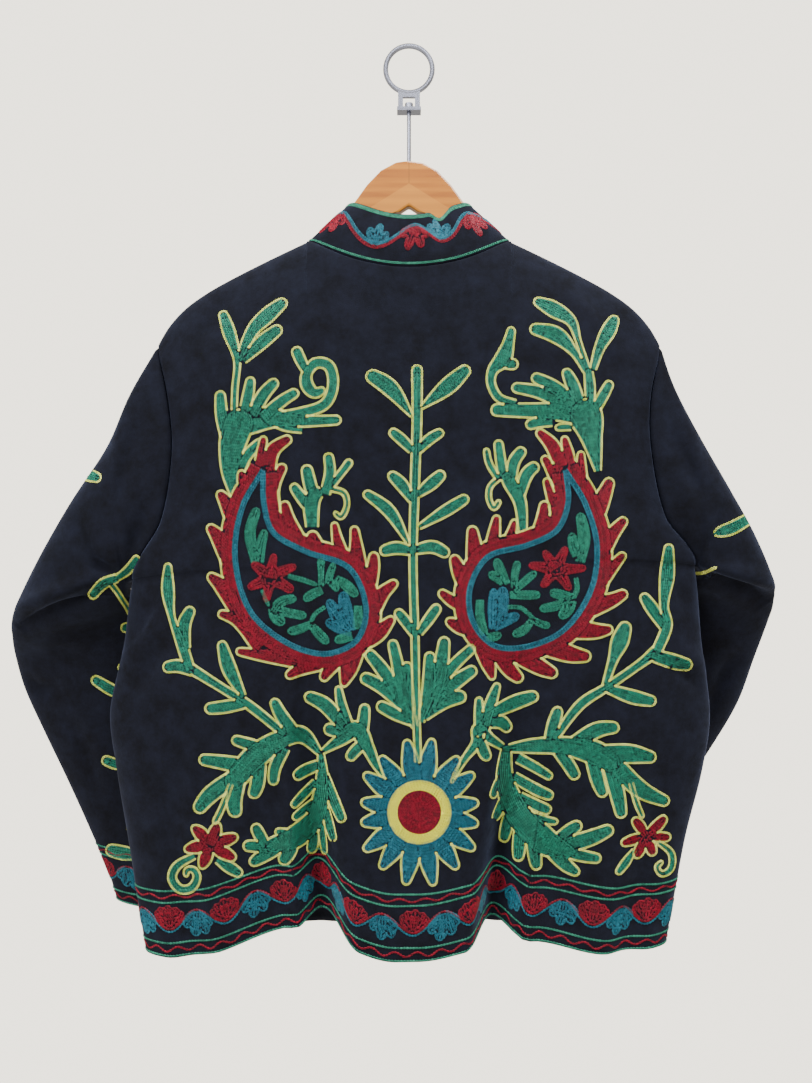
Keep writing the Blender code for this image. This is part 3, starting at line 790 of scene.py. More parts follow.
def outlines(lines, holes=()):
    """The edges of joined strokes, without what lies inside a neighbour."""
    runs = []
    for k, line in enumerate(lines):
        across = sideways(line) * line[:, 2:]
        edge = np.concatenate([line[:, :2] + across, (line[:, :2] - across)[::-1]])
        keep = np.ones(len(edge), bool)
        for n, other in enumerate(lines):
            if n != k:
                keep &= depth_in(edge, other) < MEET
        for hole in holes:
            keep &= depth_in(edge, hole) < HOLE_MEET
        runs += split_where(keep, edge)
    return runs


NEAR = 6.0


def far_from(points, others):
    """How far points lie from the nearest of some others, counted up to NEAR."""
    low, high = points.min(axis=0) - NEAR, points.max(axis=0) + NEAR
    close = others[((others > low) & (others < high)).all(axis=1)]
    if not len(close):
        return np.full(len(points), NEAR)
    steps = points[:, None, :] - close[None, :, :]
    return np.minimum(np.sqrt((steps**2).sum(axis=2).min(axis=1)), NEAR)


def fills(lines, edges=(), inset=INSET, holes=()):
    """Rows that fill joined strokes: one along each side, straight ones between, none laid twice."""
    edge = np.concatenate(edges) if len(edges) else np.zeros((0, 2))
    runs, laid = [], np.zeros((0, 2))
    for follow, apart in ((True, SIDE_APART), (False, FILL_APART)):
        for line in lines:
            across, wide = sideways(line), line[:, 2]
            most = int(wide.max() / ROW) + 1
            if follow:
                room = wide - inset
                offsets = [side * np.where(room > 0.5 * ROW, room, np.nan) for side in (-1, 1)]
                offsets.append(np.zeros_like(wide))
                for n in range(1, most + 1):
                    offsets += [np.full_like(wide, side * n * ROW) for side in (-1, 1)]
            else:
                offsets = [np.full_like(wide, k * ROW / 3) for k in range(-3 * most, 3 * most + 1)]
            for offset in offsets:
                row = line[:, :2] + across * np.nan_to_num(offset)[:, None]
                keep = ~np.isnan(offset) & (np.abs(np.nan_to_num(offset)) <= wide - STROKE_RIM)
                keep &= far_from(row, edge) >= inset - EDGE_SLACK
                keep &= far_from(row, laid) >= apart
                for hole in holes:
                    keep &= depth_in(row, hole) < -HOLE_RIM
                found = [run for run in split_where(keep, row) if follow or len(run) > 2]
                runs += found
                laid = np.concatenate([laid] + found)
    return runs


def solid(lines, rim=0.9):
    """Rows for a motif with no outline: one round its edge, which keeps its lobes round, then the rest."""
    inner = [line.copy() for line in lines]
    for line in inner:
        line[:, 2] = np.maximum(line[:, 2] - rim, 0.3)
    edges = outlines(inner)
    return edges + fills(inner, edges, inset=0.85 * ROW)


print("one leaf has", len(fills([spine(strokes("0 0 2, 20 5 7, 45 0 4")[0])])), "rows")

# %% [markdown]
# ## Thread on the cloth
#
# A run of places becomes a row of stitches. The stitches are only noted down
# here, by thread: where each lies, which way it points, and which way is out
# of the cloth. They are made in one go at the end.

# %% Notes of stitches
OUTLINE_PITCH, FILL_PITCH = 2.7 * MM, 2.9 * MM
SHORTEST_ROW = 0.45
LIFT = -0.05 * MM
JUMP = 6.0 * MM
rng = np.random.default_rng(7)
notes = {}


def sew(group, places, outs, pitch):
    """Notes one row of stitches along places on the cloth, from end to end."""
    good = ~np.isnan(places[:, 0])
    if good.sum() < 2:
        return
    steps = np.linalg.norm(np.diff(places, axis=0), axis=1)
    joined = np.concatenate([[True], ~(steps > JUMP)]) & good
    cuts = np.flatnonzero(~joined)
    for run in np.split(np.arange(len(places)), cuts):
        run = run[good[run]]
        if len(run) < 2:
            continue
        part, way = places[run], outs[run]
        far = np.concatenate([[0], np.cumsum(np.linalg.norm(np.diff(part, axis=0), axis=1))])
        if far[-1] < SHORTEST_ROW * pitch:
            continue
        count = max(int(round(far[-1] / pitch)), 1)
        step = far[-1] / count
        middle = step * (np.arange(count) + 0.5)
        ends = [
            np.stack([np.interp(middle + reach, far, part[:, c]) for c in range(3)], axis=1)
            for reach in (-step / 2, step / 2)
        ]
        out = np.stack([np.interp(middle, far, way[:, c]) for c in range(3)], axis=1)
        out /= np.linalg.norm(out, axis=1, keepdims=True)
        along = ends[1] - ends[0]
        long = np.linalg.norm(along, axis=1, keepdims=True)
        usual = OUTLINE_PITCH if group[2] == "line" else FILL_PITCH
        at = (ends[0] + ends[1]) / 2 + out * LIFT
        notes.setdefault(group, []).append(
            np.concatenate([at, out, along / np.maximum(long, 1e-9), long / usual], axis=1)
        )


def sew_pixels(group, runs, target, pitch):
    """Sews runs of pixels."""
    for run in runs:
        places, outs = land(run, target)
        sew(group, places, outs, pitch)


def embroider(target, thread, lines, place="back", holes=()):
    """Fills one motif of joined strokes and outlines it in lime."""
    edges = outlines(lines, holes)
    sew_pixels((place, thread, "fill"), fills(lines, edges, holes=holes), target, FILL_PITCH)
    sew_pixels((place, "lime", "line"), edges, target, OUTLINE_PITCH)


# %% [markdown]
# ## The motifs of the back
#
# The plan is the one of old paisley shawls: a stem of paired leaves up the
# middle with a daisy at its foot, a flaming paisley on each side, and fronds
# that curl round both. Left and right answer each other but were drawn by
# hand, so no motif is the mirror image of another.

# %% The middle stem, its leaves and the daisy
STEM = strokes("""
418 762 3, 416 700 3.4, 415 640 3.6, 413 560 3.6, 415 480 4.2, 417 420 4.4, 417 365 5
412 416 1.6, 390 388 8, 367 373 6
421 408 1.6, 448 386 8, 469 367 5
412 450 4, 401 439 5, 390 430 4
417 451 4, 430 439 5, 443 431 4
412 500 3.6, 401 484 6, 389 473 4
418 494 3.6, 432 483 6, 444 472 4.6
408 542 2, 389 511 6, 364 492 4
419 527 2.4, 447 510 5.6, 468 497 4.6
412 551 4.4, 396 548 6, 380 552 4.6
414 550 4.4, 433 547 6, 449 555 4.6
416 637 3.6, 406 622 5, 396 610 4.2
419 633 3.6, 429 619 5, 439 605 4.6
""")
LEFT_HAND = strokes("""
415 727 3, 403 698 8, 399 672 6, 392 640 4.6
409 712 6, 406 688 7, 407 662 4.6
404 703 6, 384 672 6.5, 367 651 5
404 706 6, 382 687 6.5, 361 676 5.4
412 722 4, 394 713 6, 377 704 5
""")
RIGHT_HAND = strokes("""
421 722 3, 429 690 7, 430 652 4.8
424 714 6, 438 680 8, 445 637 5
430 706 6, 449 671 5.6, 474 646 4.6
430 708 6, 452 685 7, 476 668 5
424 716 5, 445 700 8, 466 696 5.4
""")
print("stem and hands:", len(STEM) + len(LEFT_HAND) + len(RIGHT_HAND), "strokes")

DAISY_AT = np.array([419.3, 812.3])
DAISY_EYE, DAISY_RING, DAISY_PETALS = 21.8, 32.2, 16
PETAL_SIDE, PETAL_LONG, PETAL_HALF = 59.0, 74.0, 8.8
PETAL_TIP = 0.36 * PETAL_HALF


def daisy_petals():
    """Petals round the daisy, longer above and below than at its sides."""
    petals = []
    for k in range(DAISY_PETALS):
        angle = 2 * math.pi * (k + 0.5) / DAISY_PETALS + 0.05 * math.sin(3.1 * k)
        way = np.array([math.cos(angle), math.sin(angle)])
        reach = PETAL_SIDE + (PETAL_LONG - PETAL_SIDE) * abs(way[1]) ** 1.4 + 2.0 * math.sin(2.3 * k)
        places = [(DAISY_RING - 2, PETAL_HALF), (0.6 * reach + 6, PETAL_HALF), (reach, PETAL_TIP)]
        petals.append(np.array([[*(DAISY_AT + way * far), half] for far, half in places]))
    return petals


def ring_rows(centre, inner, outer, spacing=ROW):
    """Closed rows that fill the space between two circles."""
    count = max(int(round((outer - inner) / spacing)), 1)
    rows = []
    for k in range(count):
        radius = inner + (outer - inner) * (k + 0.5) / count
        turn = 2.4 * k + np.linspace(0, 2 * math.pi, max(int(2 * math.pi * radius), 8) + 1)
        turn = np.append(turn, turn[1] + 0.6 / max(radius, 1.0))
        rows.append(centre + radius * np.stack([np.cos(turn), np.sin(turn)], axis=1))
    return rows


# %% The two paisleys
BAND_HALF, RING_HALF = 3.0, 6.5
LEFT_BAND = strokes("""
263 470 3, 242 508 3, 235 558 3, 250 611 3, 287 643 3, 326 654 3, 357 640 3,
366 607 3, 349 568 3, 305 551 3, 273 532 3, 264 503 3, 263 473 3
""")[0]
LEFT_FLAMES = strokes("""
264 494 7, 265 480 9, 267 466 7
268 484 7, 272 452 7, 291 437 4
259 480 7, 261 455 5, 264 436 3.4
247 503 9, 243 482 6, 241 470 3.4
241 532 12, 228 505 8, 218 491 3.4
236 566 13, 219 538 8, 208 525 3.4
241 607 13, 222 586 8, 208 574 3.4
264 644 13, 238 620 7, 218 613 3.4
296 660 8, 262 655 6, 236 651 3.4
318 662 9, 300 669 6.4, 286 677 3.6
333 662 9, 327 672 6, 322 681 3.4
352 652 12, 348 670 9, 343 687 2.4
358 640 13, 378 632 9, 394 617 3
371 608 11, 383 593 7, 397 581 3.6
368 584 9, 373 567 6.4, 374 552 4
357 566 10, 356 544 6, 354 526 3.6
342 560 9, 337 538 5, 334 522 3
322 556 9, 314 541 7, 311 531 5
298 549 13, 288 522 8, 284 501 4
273 520 9, 273 488 6.4, 284 464 4.4
""")
RIGHT_BAND = strokes("""
565 470 3, 585 503 3, 597 545 3, 591 590 3, 565 629 3, 530 646 3, 495 646 3,
473 622 3, 470 588 3, 488 557 3, 528 545 3, 557 530 3, 568 503 3, 566 473 3
""")[0]
RIGHT_FLAMES = strokes("""
569 494 7, 567 480 9, 564 466 7
566 480 7, 553 447 7, 537 430 3.6
571 484 8, 568 455 6, 564 436 3
581 490 8, 581 466 5, 581 451 3
592 518 12, 603 497 8, 611 478 4.4
598 553 12, 613 533 7, 626 518 4
597 582 11, 612 567 6.4, 625 553 3.4
590 607 11, 612 600 7, 627 592 4.2
577 629 10, 597 631 7.4, 613 629 3.4
546 645 11, 571 654 8.4, 591 657 4.6
515 652 10, 540 667 8, 557 675 4.6
497 650 9, 510 670 7.4, 522 681 4.4
483 640 12, 488 662 8, 493 680 2.4
477 626 13, 460 626 8, 446 620 3.2
471 606 10, 453 601 6.4, 439 591 3.6
468 590 9, 459 570 7.4, 453 555 4
476 572 10, 474 545 7.4, 472 526 4.4
490 560 8, 494 534 6, 497 515 3.2
503 556 8, 511 534 5, 515 519 2.4
537 548 11, 543 520 7, 545 501 4.4
561 525 8, 552 497 5.4, 546 478 3.6
565 497 8, 551 469 5.4, 543 456 3.6
""")


def ring_round(band):
    """The red ring round a paisley's band: a stroke along it, moved out."""
    line = spine(band)
    centre = line[:, :2].mean(axis=0)
    across = sideways(line)
    outward = np.sign((across * (line[:, :2] - centre)).sum())
    ring = line.copy()
    ring[:, :2] += across * outward * (BAND_HALF + RING_HALF - 1.0)
    ring[:, 2] = RING_HALF
    return ring


def area_inside(points, band):
    """Whether points lie inside the closed band of a paisley."""
    edge = spine(band)[:, :2]
    after = np.roll(edge, -1, axis=0)
    x, y = points[:, 0:1], points[:, 1:2]
    crosses = (edge[:, 1] > y) != (after[:, 1] > y)
    rise = np.where(np.abs(after[:, 1] - edge[:, 1]) < 1e-9, 1e-9, after[:, 1] - edge[:, 1])
    meets = x < (after[:, 0] - edge[:, 0]) * (y - edge[:, 1]) / rise + edge[:, 0]
    return (crosses & meets).sum(axis=1) % 2 == 1


LEFT_INNER = {
    "red": strokes("""
270 578 9, 272 566 5, 274 554 3.6
270 578 8, 283 571 5.4, 296 566 3.6
270 578 8, 282 584 5.4, 293 591 5
270 578 8, 268 590 5, 266 602 3.6
270 578 8, 259 583 5.4, 248 588 3.8
270 578 8, 261 570 5.4, 252 563 4
"""),
    "green": strokes("""
256 562 5, 250 533 5.6, 257 508 4.8
259 562 5, 261 545 5, 265 530 4.2
288 576 2.4, 303 580 2.6, 317 585 2.4
321 586 3, 321 572 3, 321 558 4.4
328 584 3.4, 330 574 3.8, 334 563 3.2
322 590 4, 313 594 4.8, 304 600 4.4
330 582 3.4, 334 585 4, 338 591 3.2
336 578 3, 346 585 5.4, 357 596 4.4
262 590 1.8, 265 598 1.8, 269 606 2
273 612 5, 281 602 5, 296 598 4.4
273 609 5, 289 613 4.6, 306 616 4.4
273 608 5, 276 617 6, 284 624 5
358 606 4, 358 618 4.6, 356 629 3.8
352 636 4.4, 344 638 4.8, 335 641 4.4
325 607 2, 315 614 2.2, 311 622 2.4
311 624 3.6, 300 629 4.6, 288 632 4.2
312 626 3.6, 319 634 5, 328 643 4.4
"""),
    "teal": strokes("""
351 631 4, 339 618 7.4, 328 600 4.2
351 631 5, 346 612 7, 343 592 5
352 633 4, 339 627 6.4, 326 621 4.6
"""),
}
RIGHT_INNER = {
    "red": strokes("""
556 569 9, 550 560 5, 544 551 3.8
556 569 8, 561 558 5.2, 566 547 3.6
556 569 8, 571 569 5, 586 568 3.6
556 569 8, 564 580 5.2, 570 590 3.8
556 569 8, 549 578 5.2, 542 587 3.6
556 569 8, 543 567 5.2, 529 565 3.8
"""),
    "green": strokes("""
580 562 5, 584 538 6.4, 580 513 4.8
577 556 4.6, 573 545 5, 572 533 4.2
576 578 2.4, 577 590 2.6, 572 599 3
572 598 4.4, 561 595 5.2, 550 592 4.4
572 600 4.4, 556 606 4.8, 540 609 4.2
572 600 5, 568 609 6, 560 618 4.6
507 584 3.6, 501 572 5.2, 496 559 4.4
503 583 3.6, 497 578 4.6, 489 573 4.4
514 588 3, 515 574 4, 518 561 4
514 591 3.2, 525 581 4, 536 572 3.6
510 595 3.6, 525 595 4.6, 540 595 4.2
480 600 4, 480 617 4.6, 485 636 4.2
486 637 4, 493 637 4.6, 501 634 4
507 607 2, 521 608 2.2, 533 618 2.2
532 619 3, 541 624 3.6, 550 626 4
532 620 3, 524 630 4.6, 513 635 4.2
"""),
    "teal": strokes("""
493 629 4, 493 608 5.4, 494 589 4.2
493 629 5, 501 608 7.6, 503 587 4.8
493 628 4, 505 621 5.6, 519 615 4.4
"""),
}
print("flames:", len(LEFT_FLAMES), "and", len(RIGHT_FLAMES))

# %% Branches above the paisleys
UPPER_LEFT = strokes("""
236 502 3, 230 468 9, 236 430 15, 247 412 14
230 446 7, 222 416 6, 220 391 4.6
230 416 7, 236 430 6, 240 446 5
243 418 5, 248 396 5.4, 251 377 4
252 415 6, 264 394 6, 277 380 4.6
262 418 6, 282 401 5.4, 298 391 4.4
250 420 14, 272 418 10, 300 421 6, 341 420 4.4
270 418 5, 300 413 5, 325 404 5, 333 385 5, 329 366 5, 316 363 5, 307 373 5, 307 385 6, 315 393 5, 325 389 3
307 372 4, 301 361 5, 295 347 5
236 478 6, 245 458 5.4, 262 440 4
302 430 3, 286 427 4, 268 421 3
234 415 2.6, 235 388 2.8, 237 360 3.2, 229 332 6, 222 311 4
238 362 3.4, 253 330 6, 268 315 7.4, 286 300 4.6
243 360 4, 262 342 6.6, 281 327 5
""")
UPPER_RIGHT = strokes("""
598 471 3, 592 440 10, 585 415 17, 575 404 13
596 408 5, 604 394 5, 611 381 4
580 406 6, 572 384 6.4, 565 369 4
576 404 7, 552 386 6.4, 532 376 4.6
572 408 8, 542 393 6.4, 512 387 4.6
580 412 13, 546 411 8, 506 410 6.4, 491 410 5.6
552 421 5, 539 422 5.4, 526 426 4.4
571 427 3, 563 427 3.4, 555 428 2.6
515 404 4, 499 398 4, 491 383 4, 493 370 5, 503 359 8, 509 341 5, 512 327 3.6
503 363 5, 512 364 5.4, 518 363 5
590 408 4, 590 388 5, 588 368 4
587 368 3, 578 340 2.6, 571 321 5, 553 309 7.6, 534 300 3.6
586 371 3, 574 352 4, 556 335 8, 530 328 4.6
593 369 3, 600 347 5, 609 330 7, 616 316 4
""")
LEFT_SPRIG = strokes("""
312 527 6, 312 500 8, 320 488 7
307 504 6, 298 493 5, 292 484 4
314 500 6, 309 480 6, 306 465 5
325 494 5, 330 472 5, 328 453 4.4
328 489 4, 342 472 3.4, 351 460 4
332 489 2.4, 344 493 2.4, 347 505 2.2, 341 517 2.4, 334 512 2
""")
RIGHT_SPRIG = strokes("""
523 533 4, 520 502 6, 510 482 7, 504 473 5
498 478 3, 489 463 3, 486 448 2.6
503 476 5, 500 456 4.6, 498 440 4.2
511 483 5, 514 462 5.6, 524 448 4.8
520 494 5, 527 474 6, 538 464 4.8
499 478 2.4, 490 487 2.4, 489 499 2.4, 494 508 2.4, 500 500 2.4
""")
print("branches:", len(UPPER_LEFT) + len(UPPER_RIGHT), "strokes")

# %% Vines and fronds of the lower back
LEFT_VINE = strokes("""
190 670 5, 181 642 5, 172 618 3, 168 590 6, 168 563 3
185 648 5, 184 625 6.4, 192 607 4.4
193 671 5, 178 666 6, 163 668 5
190 668 5, 222 688 4, 250 706 4.4, 286 735 4
243 696 3, 229 668 7, 221 641 4
246 703 5, 224 707 6, 205 709 5
""")
LEFT_FROND = strokes("""
320 753 3, 302 735 8, 284 738 9, 255 757 12, 228 788 10
294 734 7, 281 715 6, 273 699 4.4
268 750 6, 248 744 5.6, 232 739 4.4
244 766 8, 220 762 6.6, 199 759 5
235 777 8, 210 795 8, 196 812 5.6
238 778 8, 234 800 7.6, 236 817 6
259 765 7, 257 785 6.6, 252 798 5
284 748 6, 275 768 5.6, 273 785 4.6
""")
LEFT_TAIL_FROND = strokes("""
321 752 3, 322 785 7, 315 818 10, 290 840 11, 266 847 7
318 765 5, 304 771 5.6, 294 778 4.6
316 782 4, 303 795 4.4, 292 807 3.4
317 800 4, 303 811 4.4, 293 819 3.4
324 775 5, 334 801 5.4, 343 822 4.4
323 800 4, 329 824 4.6, 334 841 3.4
321 820 3, 323 840 3.6, 325 854 2.4
266 846 5, 259 834 5.6, 254 824 4.6
268 848 6, 253 846 5.6, 243 846 5
276 848 7, 261 857 6.4, 250 864 4
292 842 8, 287 855 7, 281 864 4.6
312 828 6, 313 843 5.6, 310 853 4.4
292 834 4, 283 833 4.6, 275 831 3
""")
LEFT_UP_FROND = strokes("""
322 752 2.4, 340 740 6, 356 730 9, 368 748 6, 375 763 4, 383 777 1.4
345 728 6, 325 705 7, 305 695 5
347 722 5, 341 703 4.4, 338 686 3
362 731 6, 364 717 5.4, 365 704 4.4
344 733 6, 333 730 6, 324 728 5
365 742 5, 355 751 5.4, 348 760 4.4
""")
RIGHT_VINE = strokes("""
657 651 5, 667 625 5, 664 606 4, 667 575 7, 669 544 4
664 626 5, 651 607 6, 642 594 4
652 655 6, 675 662 7, 692 666 5
657 651 6, 640 664 4, 607 687 4, 580 705 4.6, 553 741 3
605 686 3, 613 660 4.6, 620 641 8.4, 627 622 5
606 688 4, 633 697 6.6, 656 702 4.6
""")
RIGHT_FROND = strokes("""
503 749 3, 532 746 7, 565 746 9, 595 753 12, 618 768 10
550 742 6, 554 723 6, 559 707 4.6
575 744 8, 597 730 7.4, 619 727 5
603 754 9, 631 754 9, 656 758 4.6
612 762 9, 640 789 8.4, 669 803 4.6
611 768 8, 618 797 7, 622 818 5
592 757 7, 598 781 6.6, 604 797 4.6
558 750 6, 570 767 6, 577 779 5
""")
RIGHT_TAIL_FROND = strokes("""
506 748 5, 505 780 9, 517 812 13, 543 840 14, 575 855 6
518 758 5, 538 769 4.6, 552 778 3.6
514 777 5, 537 790 5.4, 553 797 4.4
520 797 5, 538 806 5.4, 551 811 4.4
528 815 5, 545 820 4, 558 822 2.6
503 773 4, 496 788 4, 492 798 3
506 795 5, 499 810 4.6, 494 820 3.4
510 812 6, 506 829 6, 503 842 4.4
521 827 7, 519 848 6.4, 518 861 4.6
533 840 7, 535 857 6.4, 537 870 4.6
550 848 8, 566 865 6.4, 579 874 3.6
560 850 6, 583 856 5.6, 601 859 4.4
565 846 8, 593 837 7.4, 613 828 5
559 840 7, 571 830 6.4, 581 823 4.6
""")
RIGHT_UP_FROND = strokes("""
504 748 3, 489 738 5, 479 730 7, 477 742 5, 464 760 3, 451 783 1.4
480 730 5, 479 712 4.4, 479 697 3
484 728 6, 491 703 5.6, 498 683 3
490 714 5, 516 702 7, 538 695 5
488 722 6, 501 722 6.4, 510 731 4.6
480 740 5, 484 752 5.6, 489 760 4
""")
LEFT_STAR = strokes("""
210 845 5, 215 832 6.4, 218 822 2.6
210 845 5, 200 833 6.4, 192 826 2.6
210 845 5, 196 847 6.4, 184 850 2.6
210 845 5, 205 859 6.4, 201 869 2.6
210 845 5, 226 854 6.4, 236 859 3.4
210 845 5, 226 840 6.4, 238 836 3.4
""")
RIGHT_STAR = strokes("""
646 836 4, 639 825 5.4, 633 818 3.4
646 836 4, 658 825 5.4, 666 816 3.4
646 836 4, 660 837 5, 671 837 3.4
646 836 4, 651 848 5.4, 653 856 3.6
646 836 4, 640 849 5.4, 635 858 3.6
646 836 4, 632 840 5, 621 844 3
""")
STAR_LEAVES = strokes("""
217 860 3, 229 867 5.6, 242 875 4
634 850 2, 626 862 4, 617 874 3
""")
STAR_STEMS = strokes("""
231 784 2, 222 808 2.6, 214 824 2.6
631 783 2, 637 804 2.4, 643 818 2
194 856 3, 177 866 4, 172 878 4, 180 889 4, 191 888 4, 197 878 3.6, 194 870 3, 187 870 2.6, 186 877 2.2
658 842 2, 671 853 3, 671 868 3, 662 874 2.6, 657 867 2.2, 663 861 1.8
""")
FRONDS = LEFT_FROND + RIGHT_FROND + LEFT_TAIL_FROND + RIGHT_TAIL_FROND
print("fronds:", len(FRONDS), "strokes")

# %% [markdown]
# ## Sewing the back
#
# The red of a paisley starts outside its teal band. Nothing red may lie inside
# the band, so rows and edges that cross into it stop there.

# %% Sew the motifs of the back
back_cloth = make_tree(["back"])


def outside_band(runs, band):
    """The parts of runs that lie outside a paisley's band."""
    kept = []
    for run in runs:
        kept += split_where(~area_inside(run, band), run)
    return kept


def sew_paisley(band, flames, inner):
    """Flames and ring in red, the teal band, and the small flowers inside."""
    lines = [ring_round(band)] + [spine(flame) for flame in flames]
    middle = spine(band)
    edge = outside_band(outlines(lines, holes=[middle]), band)
    outer = [piece for run in edge for piece in split_where(depth_in(run, middle) < -RING_HALF, run)]
    red = [
        piece
        for run in outside_band(fills(lines, outer), band)
        for piece in split_where(depth_in(run, middle) < 0.4 - ROW / 2, run)
    ]
    sew_pixels(("back", "red", "fill"), red, back_cloth, FILL_PITCH)
    sew_pixels(("back", "lime", "line"), outer, back_cloth, OUTLINE_PITCH)
    across = sideways(middle)
    teal = [middle[:, :2] + across * (k - 1) * ROW for k in range(3)]
    sew_pixels(("back", "teal", "fill"), teal, back_cloth, FILL_PITCH)
    for thread, parts in inner.items():
        sew_pixels(("back", thread, "fill"), solid([spine(part) for part in parts]), back_cloth, FILL_PITCH)
    return lines


red_lines = sew_paisley(LEFT_BAND, LEFT_FLAMES, LEFT_INNER)
red_lines += sew_paisley(RIGHT_BAND, RIGHT_FLAMES, RIGHT_INNER)
for motif in (UPPER_LEFT, UPPER_RIGHT, LEFT_SPRIG, RIGHT_SPRIG):
    embroider(back_cloth, "green", [spine(stroke) for stroke in motif], holes=red_lines)
for motif in (
    STEM, LEFT_HAND, RIGHT_HAND,
    LEFT_VINE + LEFT_FROND + LEFT_TAIL_FROND + LEFT_UP_FROND,
    RIGHT_VINE + RIGHT_FROND + RIGHT_TAIL_FROND + RIGHT_UP_FROND,
    STAR_LEAVES, STAR_STEMS,
):
    embroider(back_cloth, "green", [spine(stroke) for stroke in motif])
for star in (LEFT_STAR, RIGHT_STAR):
    embroider(back_cloth, "red", [spine(arm) for arm in star])
petals = [spine(petal) for petal in daisy_petals()]
embroider(back_cloth, "teal", petals)
sew_pixels(("back", "yellow", "fill"), ring_rows(DAISY_AT, DAISY_EYE, DAISY_RING), back_cloth, FILL_PITCH)
sew_pixels(("back", "red", "fill"), ring_rows(DAISY_AT, 0.8, DAISY_EYE), back_cloth, FILL_PITCH)
print({group: sum(len(row) for row in rows) for group, rows in notes.items()})

# %% [markdown]
# ## Borders in the cloth's own measures
#
# The border of the hem runs all round, over the folds and where nobody looks.
# So it is drawn flat: s runs along the edge and h away from it, in millimetres
# of cloth. A strip then finds the place on a panel for each s and h. The same
# drawing serves the cuffs.

# %% Strips of cloth
class Strip:
    """Flat measures on a panel, in mm: s along its edge and h away from it."""

    def __init__(self, node, edge, measured_at, full=None):
        self.skin = skins[node]
        self.ways = self.skin.normals()
        turned = slice(None) if edge == "foot" else slice(None, None, -1)
        grid, self.rows = self.skin.grid[turned], self.skin.rows[turned]
        steps = np.linalg.norm(np.diff(grid, axis=0), axis=2) / MM
        self.up = np.concatenate([np.zeros((1, grid.shape[1])), np.cumsum(steps, axis=0)])
        line = grid[np.abs(self.up.mean(axis=1) - measured_at).argmin()]
        self.along = np.concatenate([[0], np.cumsum(np.linalg.norm(np.diff(line, axis=0), axis=1))]) / MM
        self.length, self.line = self.along[-1], line
        self.scale = np.ones(len(self.along)) if full is None else self.up[-1] / full

    def place(self, points):
        """Places on the cloth, and the ways out, for rows of s and h."""
        j = np.interp(points[:, 0], self.along, np.arange(len(self.along)))
        u = np.interp(j, np.arange(len(self.skin.columns)), self.skin.columns)
        left = np.minimum(j.astype(int), len(self.along) - 2)
        v = np.empty(len(points))
        for k, (n, t) in enumerate(zip(left, j - left)):
            up = self.up[:, n] * (1 - t) + self.up[:, n + 1] * t
            scale = self.scale[n] * (1 - t) + self.scale[n + 1] * t
            v[k] = np.interp(points[k, 1] * scale, up, self.rows)
        return self.skin.look_up(self.skin.grid, v, u), self.skin.look_up(self.ways, v, u)


def sew_flat(group, runs, strip, pitch=FILL_PITCH):
    """Sews runs of s and h on a strip."""
    for run in runs:
        run = run[(run[:, 0] >= 0.5) & (run[:, 0] <= strip.length - 0.5)]
        if len(run) > 1:
            places, outs = strip.place(run)
            sew(group, places, outs, pitch)


def moved(lines, s, h, turn=0.0, size=1.0, flip=1):
    """Strokes turned by some degrees, scaled and moved to a place on a strip."""
    cos, sin = math.cos(math.radians(turn)), math.sin(math.radians(turn))
    out = []
    for line in lines:
        x, y = line[:, 0] * size, line[:, 1] * size * flip
        out.append(np.stack([s + x * cos - y * sin, h + x * sin + y * cos, line[:, 2] * size], axis=1))
    return out


TULIP = strokes("""
0 2 4, 0 12 6.4, 0 22 4.4
0 2 4, -5 12 5.4, -8 20 4
0 2 4, 5 12 5.4, 8 20 4
0 2 4, -8 9 5, -12.5 16 3.6
0 2 4, 8 9 5, 12.5 16 3.6
""")
BELL = strokes("""
0 1 5, -1 12 6.6, -3 23 4.6
0 1 5, 6 10 6, 9 20 4.8
0 1 5, -7 8 6, -12 15 4.6
0 1 5, 9 6 5, 14 12 4
""")
PERIOD = 57.0
STEP = 1.5
VINE_H, VINE_SWING, VINE_APART = 34.5, 8.6, 1.35
TULIP_UP, BELL_DOWN = 1.4, 1.6
BORDER_LINES = table(
    "h    swing wave",
    (1.6, 0.0, 60),
    (7.6, 2.4, 22),
    (13.4, 0.0, 60),
    (53.0, 0.0, 60),
    (58.2, 1.7, 24),
    (63.4, 0.0, 60),
)


def border(place, strip, first, period=PERIOD, pitch=FILL_PITCH):
    """The hem's border: lines, small waves, a double vine, tulips above and bells below."""
    s = np.arange(0.5, strip.length, STEP)
    for h, swing, wave in zip(*BORDER_LINES.values()):
        drift = 0.5 * np.sin(s / 37 + h)
        line = np.stack([s, h + drift + swing * np.sin(2 * math.pi * s / wave)], axis=1)
        sew_flat((place, "red" if swing else "mint", "fill"), [line], strip, pitch)
    vine = VINE_H - VINE_SWING * np.cos(2 * math.pi * (s - first) / period)
    for thread, apart in (("red", VINE_APART), ("teal", -VINE_APART)):
        sew_flat((place, thread, "fill"), [np.stack([s, vine + apart], axis=1)], strip, pitch)
    start = first - math.ceil(first / period) * period
    low, high = VINE_H - VINE_SWING, VINE_H + VINE_SWING
    flowers = (("red", TULIP, 0, low + TULIP_UP, 1), ("teal", BELL, period / 2, high - BELL_DOWN, -1))
    for at in np.arange(start, strip.length + period, period):
        for thread, shape, shift, h, flip in flowers:
            turn, size = rng.uniform(-7, 7), rng.uniform(0.93, 1.05)
            lines = [spine(line) for line in moved(shape, at + shift, h, turn, size, flip)]
            sew_flat((place, thread, "fill"), solid(lines), strip, pitch)


